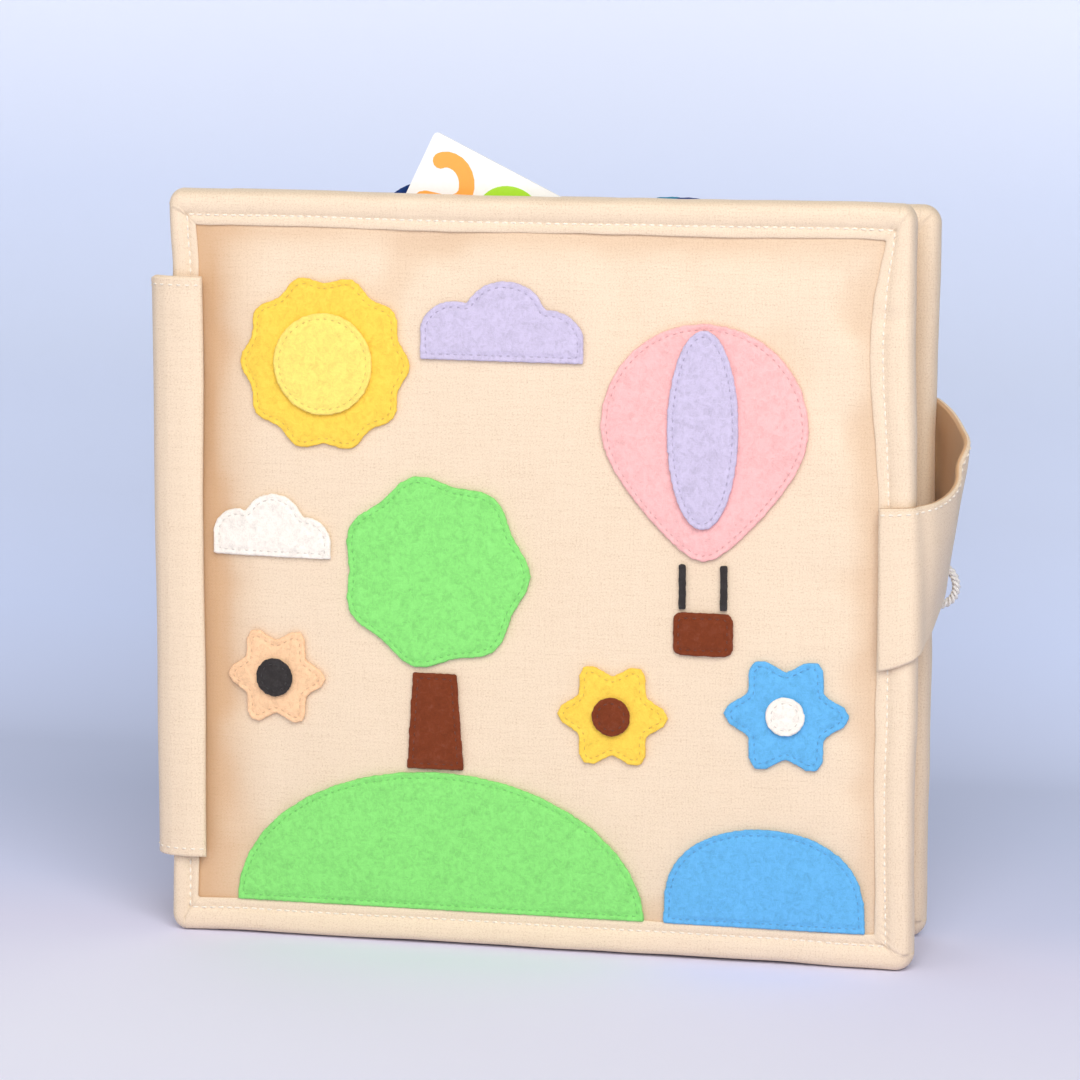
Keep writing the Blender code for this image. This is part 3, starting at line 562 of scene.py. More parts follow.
feltColours = {
    "pink": (0.93, 0.49, 0.48),
    "lilac": (0.58, 0.52, 0.70),
    "blue": (0.13, 0.44, 0.78),
    "green": (0.25, 0.73, 0.18),
    "gold": (0.95, 0.62, 0.08),
    "lemon": (0.96, 0.73, 0.17),
    "brown": (0.19, 0.038, 0.011),
    "charcoal": (0.035, 0.030, 0.030),
    "cream": (0.92, 0.85, 0.77),
    "peach": (0.93, 0.59, 0.35),
    "navy": (0.012, 0.045, 0.20),
    "teal": (0.03, 0.22, 0.36),
}
felts = {name: feltMaterial(name + "Felt", colour) for name, colour in feltColours.items()}
feltThreads = {
    name: threadMaterial(name + "Thread", scaled(colour, 0.80), sheen=0.15) for name, colour in feltColours.items()
}
say("materials made")


def dress(obj, material, slot=None):
    obj.data.materials.clear()
    obj.data.materials.append(material)


# Panels: places taken from the CAD bindings
panels = {}
for name in ("front_cover", "leaf_1", "leaf_2", "leaf_3", "back_cover"):
    low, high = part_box(name + "_binding")
    faceLow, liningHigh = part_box(name + "_face")[0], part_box(name + "_lining")[1]
    panels[name] = {
        "x": low.x, "z": low.z, "width": high.x - low.x, "height": high.z - low.z,
        "middle": (low.y + high.y) / 2, "half": (high.y - low.y) / 2,
        "front": faceLow.y, "rear": liningHigh.y, "cover": "cover" in name,
    }

# Padded panels: a closed slab whose rim is held by the binding, filled by cloth pressure
padding = {
    "cell": 3.0 * mm, "tuck": 3.2 * mm, "held": 8.6 * mm, "pressure": 3.5, "slack": 0.014, "frames": 20,
    "restPower": 2.6, "power": 4.4, "pucker": 0.34 * mm, "puckerReach": 46 * mm,
}
# broad folds of the front cover's cloth: from, to, height, spread (mm, from the lower left corner)
frontFolds = (
    ((10, 190), (10.5, 158), -0.75, 5.5), ((15, 186), (34, 152), 0.55, 8), ((77, 192), (54, 168), -0.65, 7),
    ((60, 193), (40, 176), 0.35, 8), ((184.5, 180), (184, 166), -0.95, 4.5), ((160, 168), (177, 154), -0.60, 8),
    ((187, 149), (186, 128), -0.65, 5), ((172, 190), (150, 172), 0.45, 9), ((12, 120), (13, 62), -0.55, 6),
    ((9, 10), (36, 38), -0.55, 7), ((18, 10), (48, 30), 0.35, 8), ((191, 12), (168, 34), -0.45, 8),
    ((187, 84), (183, 58), -0.50, 6), ((96, 192), (110, 172), 0.35, 10), ((130, 10), (118, 28), -0.30, 9),
)


def crownShare(x, z, width, height, power, edge=9 * mm):
    across = np.abs(x - width / 2) / (width / 2 - edge)
    up = np.abs(z - height / 2) / (height / 2 - edge)
    return np.maximum(0, 1 - across**power) * np.maximum(0, 1 - up**power)


def foldLift(x, z, folds):
    lift = np.zeros(x.shape)
    for (ax, az), (bx, bz), height, spread in folds:
        length = math.hypot(bx - ax, bz - az) * mm
        alongX, alongZ = (bx - ax) * mm / length, (bz - az) * mm / length
        place = (x - ax * mm) * alongX + (z - az * mm) * alongZ
        side = (z - az * mm) * alongX - (x - ax * mm) * alongZ + 1.5 * mm * np.sin(place / (9 * mm))
        ends = smoothStep(place, -spread * mm, spread * mm)
        ends = ends * (1 - smoothStep(place, length - spread * mm, length + spread * mm))
        lift += height * mm * np.exp(-((side / (spread * mm)) ** 2)) * ends
    return lift


def blurGrid(values, times):
    for _ in range(times):
        grown = np.pad(values, 1, mode="edge")
        values = (grown[:-2, 1:-1] + grown[2:, 1:-1] + grown[1:-1, :-2] + grown[1:-1, 2:] + 4 * values) / 8
    return values


def gridStops(length):
    tuck, held = padding["tuck"], padding["held"]
    cells = round((length - 2 * held) / padding["cell"])
    inner = np.linspace(held, length - held, cells + 1)
    return np.concatenate([[tuck, (tuck + held) / 2], inner, [length - (tuck + held) / 2, length - tuck]])


def swellBySim(name, rest, held):
    # rest holds both faces of the slab one after the other
    pad = addMesh(name, rest, slabFaces(*held.shape, turned=True))
    faceOutwards(pad)
    group = pad.vertex_groups.new(name="heldRim")
    both = np.concatenate([held.ravel(), held.ravel()])
    group.add([int(k) for k in np.nonzero(both)[0]], 1.0, "REPLACE")
    selectOnly(pad)
    cloth = pad.modifiers.new("cloth", "CLOTH")
    fabric = cloth.settings
    fabric.quality = 6
    fabric.mass = 0.25
    fabric.tension_stiffness = fabric.compression_stiffness = 18
    fabric.shear_stiffness = 6
    fabric.bending_stiffness = 0.35
    fabric.vertex_group_mass = group.name
    fabric.use_pressure = True
    fabric.uniform_pressure_force = padding["pressure"]
    fabric.shrink_min = -padding["slack"]
    fabric.effector_weights.gravity = 0
    cloth.point_cache.frame_start, cloth.point_cache.frame_end = 1, padding["frames"]
    for step in range(1, padding["frames"] + 1):
        bpy.context.scene.frame_set(step)
    bpy.ops.object.modifier_apply(modifier=cloth.name)
    bpy.context.scene.frame_set(1)
    pad.vertex_groups.clear()
    return pad, readPoints(pad)


def makePad(name, panel, seed, folds=()):
    xs, zs = gridStops(panel["width"]), gridStops(panel["height"])
    gridX, gridZ = np.meshgrid(xs, zs, indexing="ij")
    shape, count = gridX.shape, gridX.size
    rested = crownShare(gridX, gridZ, panel["width"], panel["height"], padding["restPower"])
    share = crownShare(gridX, gridZ, panel["width"], panel["height"], padding["power"])
    held = rested <= 0
    level = panel["half"] - 1.3 * mm
    crowns = (panel["middle"] - level - panel["front"], panel["rear"] - panel["middle"] - level)
    ripple = wavesOver(gridX.ravel(), gridZ.ravel(), seed, 0.012).reshape(shape)
    sides = []
    for side, crown in zip((-1, 1), crowns):
        lift = 0.35 * crown * rested + 0.00012 * ripple * (rested > 0)
        face = np.stack([panel["x"] + gridX, panel["middle"] + side * (level + lift), panel["z"] + gridZ], -1)
        sides.append(face.reshape(-1, 3))
    rest = np.concatenate(sides)
    pad, moved = swellBySim(name, rest, held)
    final = rest.copy()
    inwards = np.minimum(np.minimum(gridX, panel["width"] - gridX), np.minimum(gridZ, panel["height"] - gridZ))
    calm = 1 - 0.8 * smoothStep(inwards, 9 * mm, padding["puckerReach"])  # fewer puckers away from the edge
    paintedShadeMask = np.zeros(2 * count)
    for index, (side, crown) in enumerate(zip((-1, 1), crowns)):
        part = slice(index * count, (index + 1) * count)
        soft = 0.30 * mm * wavesOver(gridX.ravel(), gridZ.ravel(), seed + 3 + index, 0.045).reshape(shape)
        pucker = np.zeros(shape)
        if moved is not None:
            out = (side * (moved[part, 1] - panel["middle"]) - level).reshape(shape)
            out = blurGrid(out, 3)
            pucker = out - blurGrid(out, 26)
            pucker *= padding["pucker"] / max(float(np.percentile(np.abs(pucker), 95)), 1e-5)
            pucker = padding["pucker"] * 1.5 * np.tanh(pucker / (padding["pucker"] * 1.5))
            for axis in (0, 2):
                slip = np.clip(moved[part, axis] - rest[part, axis], -0.0004, 0.0004)
                final[part, axis] = rest[part, axis] + slip
        thick = min(1.0, crown / (3 * mm))
        broad = foldLift(gridX, gridZ, folds) if index == 0 and folds else np.zeros(shape)
        uneven = (soft + pucker * calm) * (0.35 + 0.65 * thick) * smoothStep(share, 0.0, 0.22)
        lift = crown * share + uneven + broad * smoothStep(share, 0.0, 0.15)
        lift = np.clip(np.where(held, 0, lift), -0.1 * mm, crown + 0.5 * mm)
        final[part, 1] = (panel["middle"] + side * (level + lift)).ravel()
        # painted shade: a mask for a deeper, more saturated cloth tone near the binding, in a band along the spine side
        # and in the hollows of the padding, where the cloth lies in shade; only the covers carry it
        hollow = (blurGrid(lift, 30) - lift) / (0.5 * mm)
        edge = 0.36 * (1 - smoothStep(inwards, 6.5 * mm, 20 * mm)) + 0.42 * (1 - smoothStep(gridX, 9 * mm, 30 * mm))
        paintedHollowShade = 0.30 * np.tanh(np.maximum(hollow, 0)) * smoothStep(inwards, 8 * mm, 13 * mm) * thick
        paintedShadeMask[part] = np.clip(edge + paintedHollowShade, 0, 0.8).ravel()
    writePoints(pad, final)
    if panel["cover"]:
        layer = pad.data.attributes.new("crease", "FLOAT", "POINT")
        layer.data.foreach_set("value", paintedShadeMask)
    useModifier(pad, "SUBSURF", levels=1, render_levels=1)
    setFrontMap(pad)
    pad.data.shade_smooth()
    return pad


frontPad = makePad("frontCoverPad", panels["front_cover"], 1, frontFolds)
say("front cover padded")
backPad = makePad("backCoverPad", panels["back_cover"], 2)
say("back cover padded")
leafPads = [makePad("leafPad1", panels["leaf_1"], 3)]
for index in (2, 3):
    copied = leafPads[0].copy()
    copied.data = leafPads[0].data.copy()
    copied.name = copied.data.name = f"leafPad{index}"
    bpy.context.scene.collection.objects.link(copied)
    shift = panels[f"leaf_{index}"]["middle"] - panels["leaf_1"]["middle"]
    writePoints(copied, readPoints(copied) + np.array([0, shift, 0]))
    leafPads.append(copied)
pads = dict(zip(panels, (frontPad, *leafPads, backPad)))
for name, pad in pads.items():
    dress(pad, paintedShadeCotton if "cover" in name else leafCotton, "cotton" if "cover" in name else "cotton_inner")
    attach(pad, name)
    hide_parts(name + "_face", name + "_padding", name + "_lining")
say("leaves padded")


# Bindings: one strip folded over the four edges, with folded corners and a topstitch
binding = {
    "width": 9.3 * mm, "seam": 6.6 * mm, "round": 4.8 * mm, "innerRound": 0.6 * mm, "fan": 30 * mm,
    "cloth": 0.9 * mm, "pitch": 2.3 * mm, "dash": 1.85 * mm, "thread": 0.56 * mm,
}
# half of the strip's section: distance in from the outer edge, and share of the half thickness
bindingSection = (
    (9.10, 0.735), (9.28, 0.775), (9.26, 0.825), (9.05, 0.862), (8.6, 0.885), (8.0, 0.895), (7.45, 0.890), (7.0, 0.872),
    (6.6, 0.850), (6.2, 0.880), (5.75, 0.935), (5.1, 0.985), (4.3, 1.020), (3.4, 1.030), (2.5, 1.010), (1.7, 0.955),
    (1.05, 0.850), (0.55, 0.690), (0.2, 0.46), (0.0, 0.18),
)


def ringPlaces(width, height, fine, coarse):
    # columns round a panel: (side, distance along it) on the straights, (side, angle) at the corners
    places = []
    radius = binding["round"]
    for side, length in enumerate((width, height, width, height)):
        stops = [radius]
        while stops[-1] < length - radius:
            fromEnd = min(stops[-1], length - stops[-1])
            stops.append(stops[-1] + (fine if fromEnd < 17 * mm else coarse))
        stops = [s for s in stops if s < length - radius - fine / 2]
        places += [(side, "run", s) for s in stops]
        steps = 12
        places += [(side, "turn", math.pi / 2 * k / steps) for k in range(steps + 1)]
    return places


def ringSpot(place, inset, width, height):
    side, kind, value = place
    origins = ((0, 0), (width, 0), (width, height), (0, height))
    alongs = ((1, 0), (0, 1), (-1, 0), (0, -1))
    inwards = ((0, 1), (-1, 0), (0, -1), (1, 0))
    length = width if side % 2 == 0 else height
    radius = max(binding["round"] - inset, binding["innerRound"])
    origin, along, inward = (Vector(v[side]) for v in (origins, alongs, inwards))
    if kind == "run":
        push = inset + radius - binding["round"]
        reach = binding["fan"]
        first = max(0, 1 - (value - binding["round"]) / reach) ** 2
        last = max(0, 1 - (length - value - binding["round"]) / reach) ** 2
        return origin + along * (value + push * (first - last)) + inward * inset, -inward
    out = -inward * math.cos(value) + along * math.sin(value)
    centre = origin + along * (length - inset - radius) + inward * (inset + radius)
    return centre + out * radius, out


def foldStep(x, z, folds):
    # extra height where one strip's folded end lies over the next one
    height = 0
    for (ax, az), (bx, bz), amount, fade in folds:
        along = Vector((bx - ax, bz - az))
        length = along.length
        offset = Vector((x - ax, z - az))
        side = (along.x * offset.y - along.y * offset.x) / length
        place = offset.dot(along) / length
        side -= 0.35 * mm * math.sin(math.pi * min(max(place / length, 0), 1))
        inside = smoothStep(place, -1.2 * mm, 0.3 * mm) * (1 - smoothStep(place, length - 0.3 * mm, length + 1.4 * mm))
        inside = float(inside)
        height += amount * inside * float(smoothStep(side, -0.16 * mm, 0.16 * mm)) * math.exp(-max(side, 0) / fade)
        height -= 0.55 * amount * inside * math.exp(-((side / (0.30 * mm)) ** 2))
    return height


def makeBinding(name, panel, seed, fine, coarse, folds, pull=None, wobble=1.0, dents=None):
    width, height, half = panel["width"], panel["height"], panel["half"]
    places = ringPlaces(width, height, fine, coarse)
    insets = [s * mm for s, share in bindingSection]
    shares = [share for s, share in bindingSection]
    spots = np.array([[tuple(ringSpot(place, inset, width, height)[0]) for inset in insets] for place in places])
    outs = np.array([tuple(ringSpot(place, 0, width, height)[1]) for place in places])
    outer = spots[:, -1]
    run = np.concatenate([[0], np.cumsum(np.linalg.norm(np.diff(outer, axis=0), axis=1))])
    total = run[-1] + np.linalg.norm(outer[0] - outer[-1])
    ease = smoothStep(run, 0, 20 * mm) * (1 - smoothStep(run, total - 20 * mm, total))
    shove = wobble * mm * (0.32 * waves(run, seed, 0.045) + 0.14 * waves(run, seed + 1, 0.013)) * ease
    puff = 1 + 0.07 * waves(run, seed + 2, 0.022) * ease
    lean = 0.22 * mm * waves(run, seed + 3, 0.06) * ease
    hem = wobble * mm * (0.28 * waves(run, seed + 4, 0.028) + 0.10 * waves(run, seed + 5, 0.007)) * ease
    pucker = np.cos(math.tau * run / binding["pitch"])
    rows = []
    loop = [(k, -1) for k in range(len(insets))] + [(k, 1) for k in reversed(range(len(insets)))]
    for k, side in loop:
        inset, share = insets[k], shares[k]
        inner = smoothStep(inset, 5 * mm, 9 * mm)
        spot = spots[:, k] + outs * (shove * (1 - 0.45 * inner) + hem * inner)[:, None]
        if pull is not None:
            spot = spot + np.array([pull(x, z) for x, z in spots[:, k]])
        nearSeam = math.exp(-(((inset - binding["seam"]) / (0.55 * mm)) ** 2))
        besideSeam = math.exp(-(((inset - binding["seam"]) / (1.6 * mm)) ** 2))
        depth = half * share * puff - 0.14 * mm * nearSeam * (1 + 0.6 * pucker) - 0.035 * mm * besideSeam * pucker
        depth -= dents(spots[:, k]) if dents else 0
        steps = np.array([foldStep(x, z, folds) for x, z in spots[:, k]]) * min(1, share)
        depth = depth + steps
        y = panel["middle"] + side * depth + lean * inner * 0.6
        low = np.maximum(spot[:, 1], 0.0) if panel["z"] < 1e-4 else spot[:, 1]
        rows.append(np.stack([panel["x"] + spot[:, 0], y, panel["z"] + low], -1))
    # the inside of the fold, cut off where the panel fills it
    cloth = binding["cloth"]
    for inset, share, side in ((2.2 * mm, 0.62, 1), (2.2 * mm, 0.62, -1)):
        spot = np.array([tuple(ringSpot(place, inset, width, height)[0]) for place in places])
        y = np.full(len(places), panel["middle"] + side * (half - cloth) * share)
        rows.append(np.stack([panel["x"] + spot[:, 0], y, panel["z"] + spot[:, 1]], -1))
    points = np.stack(rows, 1)
    section = np.concatenate([[0], np.cumsum(np.linalg.norm(np.diff(points[0], axis=0), axis=1))])
    section = np.append(section, section[-1] + 2 * mm)
    along = np.append(run, total)
    uv = np.stack(np.meshgrid(along, section, indexing="ij"), -1)
    strip = gridSheet(name, points, uv, closeRows=True, closeColumns=True)
    surface = surfaceOf(strip)
    found = []
    for side in (-1, 1):
        line = []
        for place, offset in zip(places, shove * 0.8):
            spot, out = ringSpot(place, binding["seam"], width, height)
            spot = spot + out * offset
            if pull is not None:
                spot = spot + Vector(pull(spot.x, spot.y))
            line.append(Vector((panel["x"] + spot.x, panel["middle"], panel["z"] + spot.y)))
        found += stitchesOn(line, surface, side, binding["pitch"], binding["dash"], True, seed)
    sewn = sewStitches(name + "Stitches", found, binding["thread"])
    return strip, sewn


def near(value, centre, spread):
    return math.exp(-(((value - centre) / spread) ** 2))


def frontPull(x, z):
    # how the cover's outline and seams leave the straight:
    # narrow strip by the spine, waves by the strap, arched lower edge
    wide = binding["width"]
    leftSide = 1 - float(smoothStep(x, wide, 34 * mm))
    rightSide = float(smoothStep(x, 160 * mm, 190.5 * mm))
    left = -1.0 * mm - 0.8 * mm * near(z, 0.0, 0.06) + 1.0 * mm * near(z, 0.1785, 0.0085)
    left = left * (1 - float(smoothStep(x, 0.012, 0.03)))
    left -= 0.17 * min(x, wide) * leftSide
    spread = -0.26 * near(z, 0.196, 0.014) + 0.22 * near(z, 0.160, 0.022) + 0.10 * near(z, 0.06, 0.05)
    right = -spread * min(0.2 - x, wide) * rightSide
    byStrap = 0.9 * mm * near(z, 0.160, 0.016) * float(smoothStep(x, 0.17, 0.19))
    right -= byStrap * (1 - min((0.2 - x) / wide, 1)) * 0.5
    right -= 1.2 * mm * float(smoothStep(z, 0.09, 0.20) * smoothStep(x, 0.15, 0.19))
    lower = 0.7 * mm * (1 - abs(2 * x / 0.2 - 1.06) ** 3) * (1 - float(smoothStep(z, 0.008, 0.03)))
    upper = -0.6 * mm * near(x, 0.085, 0.040) * float(smoothStep(z, 0.17, 0.195))
    return np.array([left + right, max(lower, 0) + upper])


def backPull(x, z):
    # the rear panel leans out at the top of its fore-edge and in at the foot
    lower = 0.7 * mm * (1 - abs(2 * x / 0.197 - 1) ** 4) * (1 - float(smoothStep(z, 0.008, 0.03)))
    top, foot = float(smoothStep(z, 0.10, 0.19)), 1 - float(smoothStep(z, 0.0, 0.07))
    fore = float(smoothStep(x, 0.15, 0.188)) * (1.1 * mm * top - 0.7 * mm * foot)
    return np.array([fore, max(lower, 0)])


# soft dents in the front strips where the cloth is drawn in: place, spread each way, depth (mm)
dentSpots = (
    (194, 171, 5, 2.6, 0.55), (195, 128, 4, 5, 0.30), (6, 193, 3, 4, 0.25),
    (70, 196, 7, 3, 0.20), (140, 4, 9, 3, 0.25), (36, 4, 7, 3, 0.22),
)


def frontDents(spots):
    depth = np.zeros(len(spots))
    for x, z, spreadX, spreadZ, amount in dentSpots:
        across = ((spots[:, 0] - x * mm) / (spreadX * mm)) ** 2
        up = ((spots[:, 1] - z * mm) / (spreadZ * mm)) ** 2
        depth += amount * mm * np.exp(-across - up)
    return depth


def cornerFolds(width, height, kinds):
    w, h, b = width / mm, height / mm, binding["width"] / mm
    table = {
        "topOver": ((0.2, h - 4.6), (6.4, h - 7.4), 0.50, 6),
        "lowerOver": ((b * 0.80, b * 0.98), (3.6, 1.2), 0.45, 6),
        "mitreRight": ((w - 5.2, h - 6.6), (w - 1.4, h - 1.8), 0.42, 6),
        "curveLow": ((w - b * 0.95, b * 0.80), (w - 2.2, 4.2), 0.45, 6),
        "mitreLowRight": ((w - b, b), (w - 0.6, 0.8), 0.40, 7),
        "mitreLeft": ((b, h - b), (0.6, h - 0.8), 0.40, 7),
        "mitreLowLeft": ((0.6, 0.8), (b, b), 0.40, 7),
    }
    found = [table[kind] for kind in kinds]
    return [((ax * mm, az * mm), (bx * mm, bz * mm), amount * mm, fade * mm) for (ax, az), (bx, bz), amount, fade in found]


bindings = {}
for number, (name, panel) in enumerate(panels.items()):
    size = (panel["width"], panel["height"])
    if name == "front_cover":
        folds = cornerFolds(*size, ("topOver", "lowerOver", "mitreRight", "curveLow"))
        strip, sewn = makeBinding("frontCoverBinding", panel, 11, 0.45 * mm, 0.72 * mm, folds, frontPull, 1.0, frontDents)
    elif name == "back_cover":
        folds = cornerFolds(*size, ("mitreLeft", "mitreLowLeft", "mitreRight", "curveLow"))
        strip, sewn = makeBinding("backCoverBinding", panel, 17, 0.5 * mm, 0.9 * mm, folds, backPull)
    else:
        folds = cornerFolds(*size, ("mitreLeft", "mitreLowLeft", "mitreRight", "mitreLowRight"))
        strip, sewn = makeBinding(f"leafBinding{name[-1]}", panel, 20 + number, 0.8 * mm, 1.6 * mm, folds, None, 0.7)
    cover = panel["cover"]
    dress(strip, cotton if cover else leafCotton, "cotton" if cover else "cotton_inner")
    dress(sewn, whiteThread if cover else leafThread)
    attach(strip, name)
    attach(sewn, name)
    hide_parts(name + "_binding")
    bindings[name] = strip
say("bindings sewn")


# Felt pieces, cut from the CAD outlines, laid on the padded cloth and sewn down
feltWork = {
    "voxel": 0.55 * mm, "inset": 1.55 * mm, "pitch": 2.0 * mm, "dash": 1.25 * mm, "thread": 0.34 * mm, "groove": 0.34 * mm,
}
frontSurface, plainSurface = surfaceOf(frontPad), surfaceOf(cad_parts["front_cover_face"])


def outlineOf(node):
    # ordered outline of the side that faces the front
    work = bmesh.new()
    work.from_mesh(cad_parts[node].data)
    bmesh.ops.remove_doubles(work, verts=work.verts, dist=1e-6)
    work.normal_update()
    front = {face for face in work.faces if face.normal.y < -0.6}
    edges = [e for e in work.edges if sum(f in front for f in e.link_faces) == 1]
    following = {}
    for edge in edges:
        a, b = edge.verts
        following.setdefault(a.index, []).append(b.index)
        following.setdefault(b.index, []).append(a.index)
    start = edges[0].verts[0].index
    order, before, here = [start], None, start
    while True:
        onwards = [k for k in following[here] if k != before]
        before, here = here, onwards[0]
        if here == start:
            break
        order.append(here)
    work.verts.ensure_lookup_table()
    line = [(work.verts[k].co.x, work.verts[k].co.z) for k in order]
    work.free()
    return line


def insetLine(outline, distance, step=0.4 * mm):
    loop = [Vector((x, 0, z)) for x, z in outline]
    at, count, length = walkLine(loop, step, True)
    spots = [at(length * k / count) for k in range(count)]
    area = sum(a.x * b.z - b.x * a.z for a, b in zip(spots, spots[1:] + spots[:1]))
    turn = 1 if area > 0 else -1
    tree = KDTree(count)
    for k, spot in enumerate(spots):
        tree.insert(spot, k)
    tree.balance()
    moved = []
    for k, spot in enumerate(spots):
        along = spots[(k + 2) % count] - spots[k - 2]
        if along.length < 1e-7:
            continue
        along.normalize()
        inner = spot + Vector((-along.z, 0, along.x)) * distance * turn
        if tree.find(inner)[2] > distance * 0.93:
            moved.append(inner)
    return moved


def cutFelt(name, node, colour, body, surface=None, sewn=True):
    felt = copyNode(name, node, feltWork["voxel"])
    useModifier(felt, "SMOOTH", factor=0.5, iterations=3)
    points = readPoints(felt)
    line = insetLine(outlineOf(node), feltWork["inset"]) if sewn else []
    seed = sum(map(ord, name)) % 97
    if surface is not None:
        for k, (x, y, z) in enumerate(points):
            real = surface.ray_cast(Vector((x, -0.2, z)), Vector((0, 1, 0)))[0]
            flat = plainSurface.ray_cast(Vector((x, -0.2, z)), Vector((0, 1, 0)))[0]
            if real is not None and flat is not None:
                points[k, 1] += real.y - flat.y
    front = np.empty(len(points) * 3)
    felt.data.vertices.foreach_get("normal", front)
    front = front.reshape(-1, 3)
    if line:
        tree = KDTree(len(line))
        for k, spot in enumerate(line):
            tree.insert(spot, k)
        tree.balance()
        for k, (x, y, z) in enumerate(points):
            if front[k, 1] < -0.3:
                gap = tree.find(Vector((x, 0, z)))[2]
                points[k, 1] += feltWork["groove"] * math.exp(-((gap / (0.62 * mm)) ** 2))
    fuzz = np.array([tuple(noise.noise_vector(Vector(p) / (1.1 * mm))) for p in points])
    points += fuzz * np.array([0.16, 0.07, 0.16]) * mm
    writePoints(felt, points)
    felt.data.shade_smooth()
    dress(felt, felts[colour], colour + "_felt")
    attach(felt, body)
    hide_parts(node)
    if sewn and len(line) > 8:
        found = stitchesOn(line, surfaceOf(felt), -1, feltWork["pitch"], feltWork["dash"], True, seed)
        stitches = sewStitches(name + "Stitches", found, feltWork["thread"], 0.12)
        dress(stitches, feltThreads[colour])
        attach(stitches, body)
    return felt


picture = (
    ("feltHill", "felt_hill", "green"), ("feltPond", "felt_pond", "blue"),
    ("feltTreeTrunk", "felt_tree_trunk", "brown"), ("feltTreeCrown", "felt_tree_crown", "green"),
    ("feltSun", "felt_sun", "gold"), ("feltSunCentre", "felt_sun_centre", "lemon"),
    ("feltBalloon", "felt_balloon", "pink"), ("feltBalloonStripe", "felt_balloon_stripe", "lilac"),
    ("feltBalloonBasket", "felt_balloon_basket", "brown"),
    ("feltCloud", "felt_cloud", "lilac"), ("feltLowCloud", "felt_low_cloud", "cream"),
    ("feltPeachFlower", "felt_peach_flower", "peach"), ("feltPeachFlowerCentre", "felt_peach_flower_centre", "charcoal"),
    ("feltGoldFlower", "felt_gold_flower", "gold"), ("feltGoldFlowerCentre", "felt_gold_flower_centre", "brown"),
    ("feltBlueFlower", "felt_blue_flower", "blue"), ("feltBlueFlowerCentre", "felt_blue_flower_centre", "cream"),
)
for name, node, colour in picture:
    cutFelt(name, node, colour, "front_cover", frontSurface)
for name, node in (("feltBalloonRopeLeft", "felt_balloon_rope_left"), ("feltBalloonRopeRight", "felt_balloon_rope_right")):
    cutFelt(name, node, "charcoal", "front_cover", frontSurface, sewn=False)
say("felt picture sewn")

cutFelt("navyDiscLeft", "navy_disc_left", "navy", "left_disc")
cutFelt("navyDiscRight", "navy_disc_right", "navy", "right_disc")
cutFelt("tealDisc", "teal_disc", "teal", "deep_disc")
say("felt discs cut")


# Bands of cloth carried along a line seen from above: the spine wrap and the strap
def bandLoop(height, thick, rows, round=5):
    # section across a band: height along it and offset out of its middle, up the outer face and down the inner one
    heights = np.linspace(0, 1, rows)
    edge = thick / 2
    loop = [(edge + (height - 2 * edge) * share, 1.0) for share in heights]
    loop += [(height - edge + edge * math.sin(math.pi * k / round), math.cos(math.pi * k / round)) for k in range(1, round)]
    loop += [(edge + (height - 2 * edge) * share, -1.0) for share in heights[::-1]]
    loop += [(edge - edge * math.sin(math.pi * k / round), -math.cos(math.pi * k / round)) for k in range(1, round)]
    return loop


def smoothLine(points, step, times=2):
    # even steps along a line of (x, y) points, after rounding its corners
    line = [np.array(p, float) for p in points]
    for _ in range(times):
        cut = [line[0]]
        for a, b in zip(line, line[1:]):
            cut += [0.75 * a + 0.25 * b, 0.25 * a + 0.75 * b]
        line = cut + [line[-1]]
    line = np.array(line)
    runs = np.concatenate([[0], np.cumsum(np.linalg.norm(np.diff(line, axis=0), axis=1))])
    count = max(2, round(runs[-1] / step))
    marks = np.linspace(0, runs[-1], count + 1)
    return np.stack([np.interp(marks, runs, line[:, k]) for k in (0, 1)], -1), marks


def lineNormals(line):
    along = np.gradient(line, axis=0)
    along /= np.linalg.norm(along, axis=1)[:, None]
    return np.stack([along[:, 1], -along[:, 0]], -1)


# Spine wrap: one cloth from the front flap round the spine to the rear flap, in four pieces that meet on the leaves
spine = {
    "low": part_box("spine_wrap_front")[0].z, "height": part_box("spine_wrap_front")[1].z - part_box("spine_wrap_front")[0].z,
    "flap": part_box("spine_wrap_front")[1].x - hingeX, "thick": 1.7 * mm, "turn": 4.6 * mm, "step": 0.8 * mm,
    "hem": 2.3 * mm, "pitch": 2.3 * mm, "dash": 1.5 * mm,
}


def wrapLine():
    out = 1.2 * mm  # middle of the cloth in front of the binding
    turn = spine["turn"]
    front, rear = bookFront - out, bookRear + out
    flapEnd, flapBelly = hingeX + spine["flap"], hingeX + spine["flap"] * 0.7
    points = [(flapEnd, front - 0.2 * mm), (flapBelly, front - 0.5 * mm), (hingeX + turn * 1.15, front - 0.4 * mm)]
    for k in range(1, 8):
        angle = math.pi / 2 * k / 8
        points.append((hingeX + 0.9 * mm + turn * (1 - math.sin(angle)), front + turn * (1 - math.cos(angle))))
    depths = np.linspace(front + turn + 2 * mm, rear - turn - 2 * mm, 60)
    points += [(hingeX + 0.9 * mm, y) for y in depths]
    for k in range(7, 0, -1):
        angle = math.pi / 2 * k / 8
        points.append((hingeX + 0.9 * mm + turn * (1 - math.sin(angle)), rear - turn * (1 - math.cos(angle))))
    points += [(hingeX + turn * 1.15, rear + 0.3 * mm), (flapBelly, rear + 0.4 * mm), (flapEnd, rear + 0.2 * mm)]
    return smoothLine(points, spine["step"], 2)


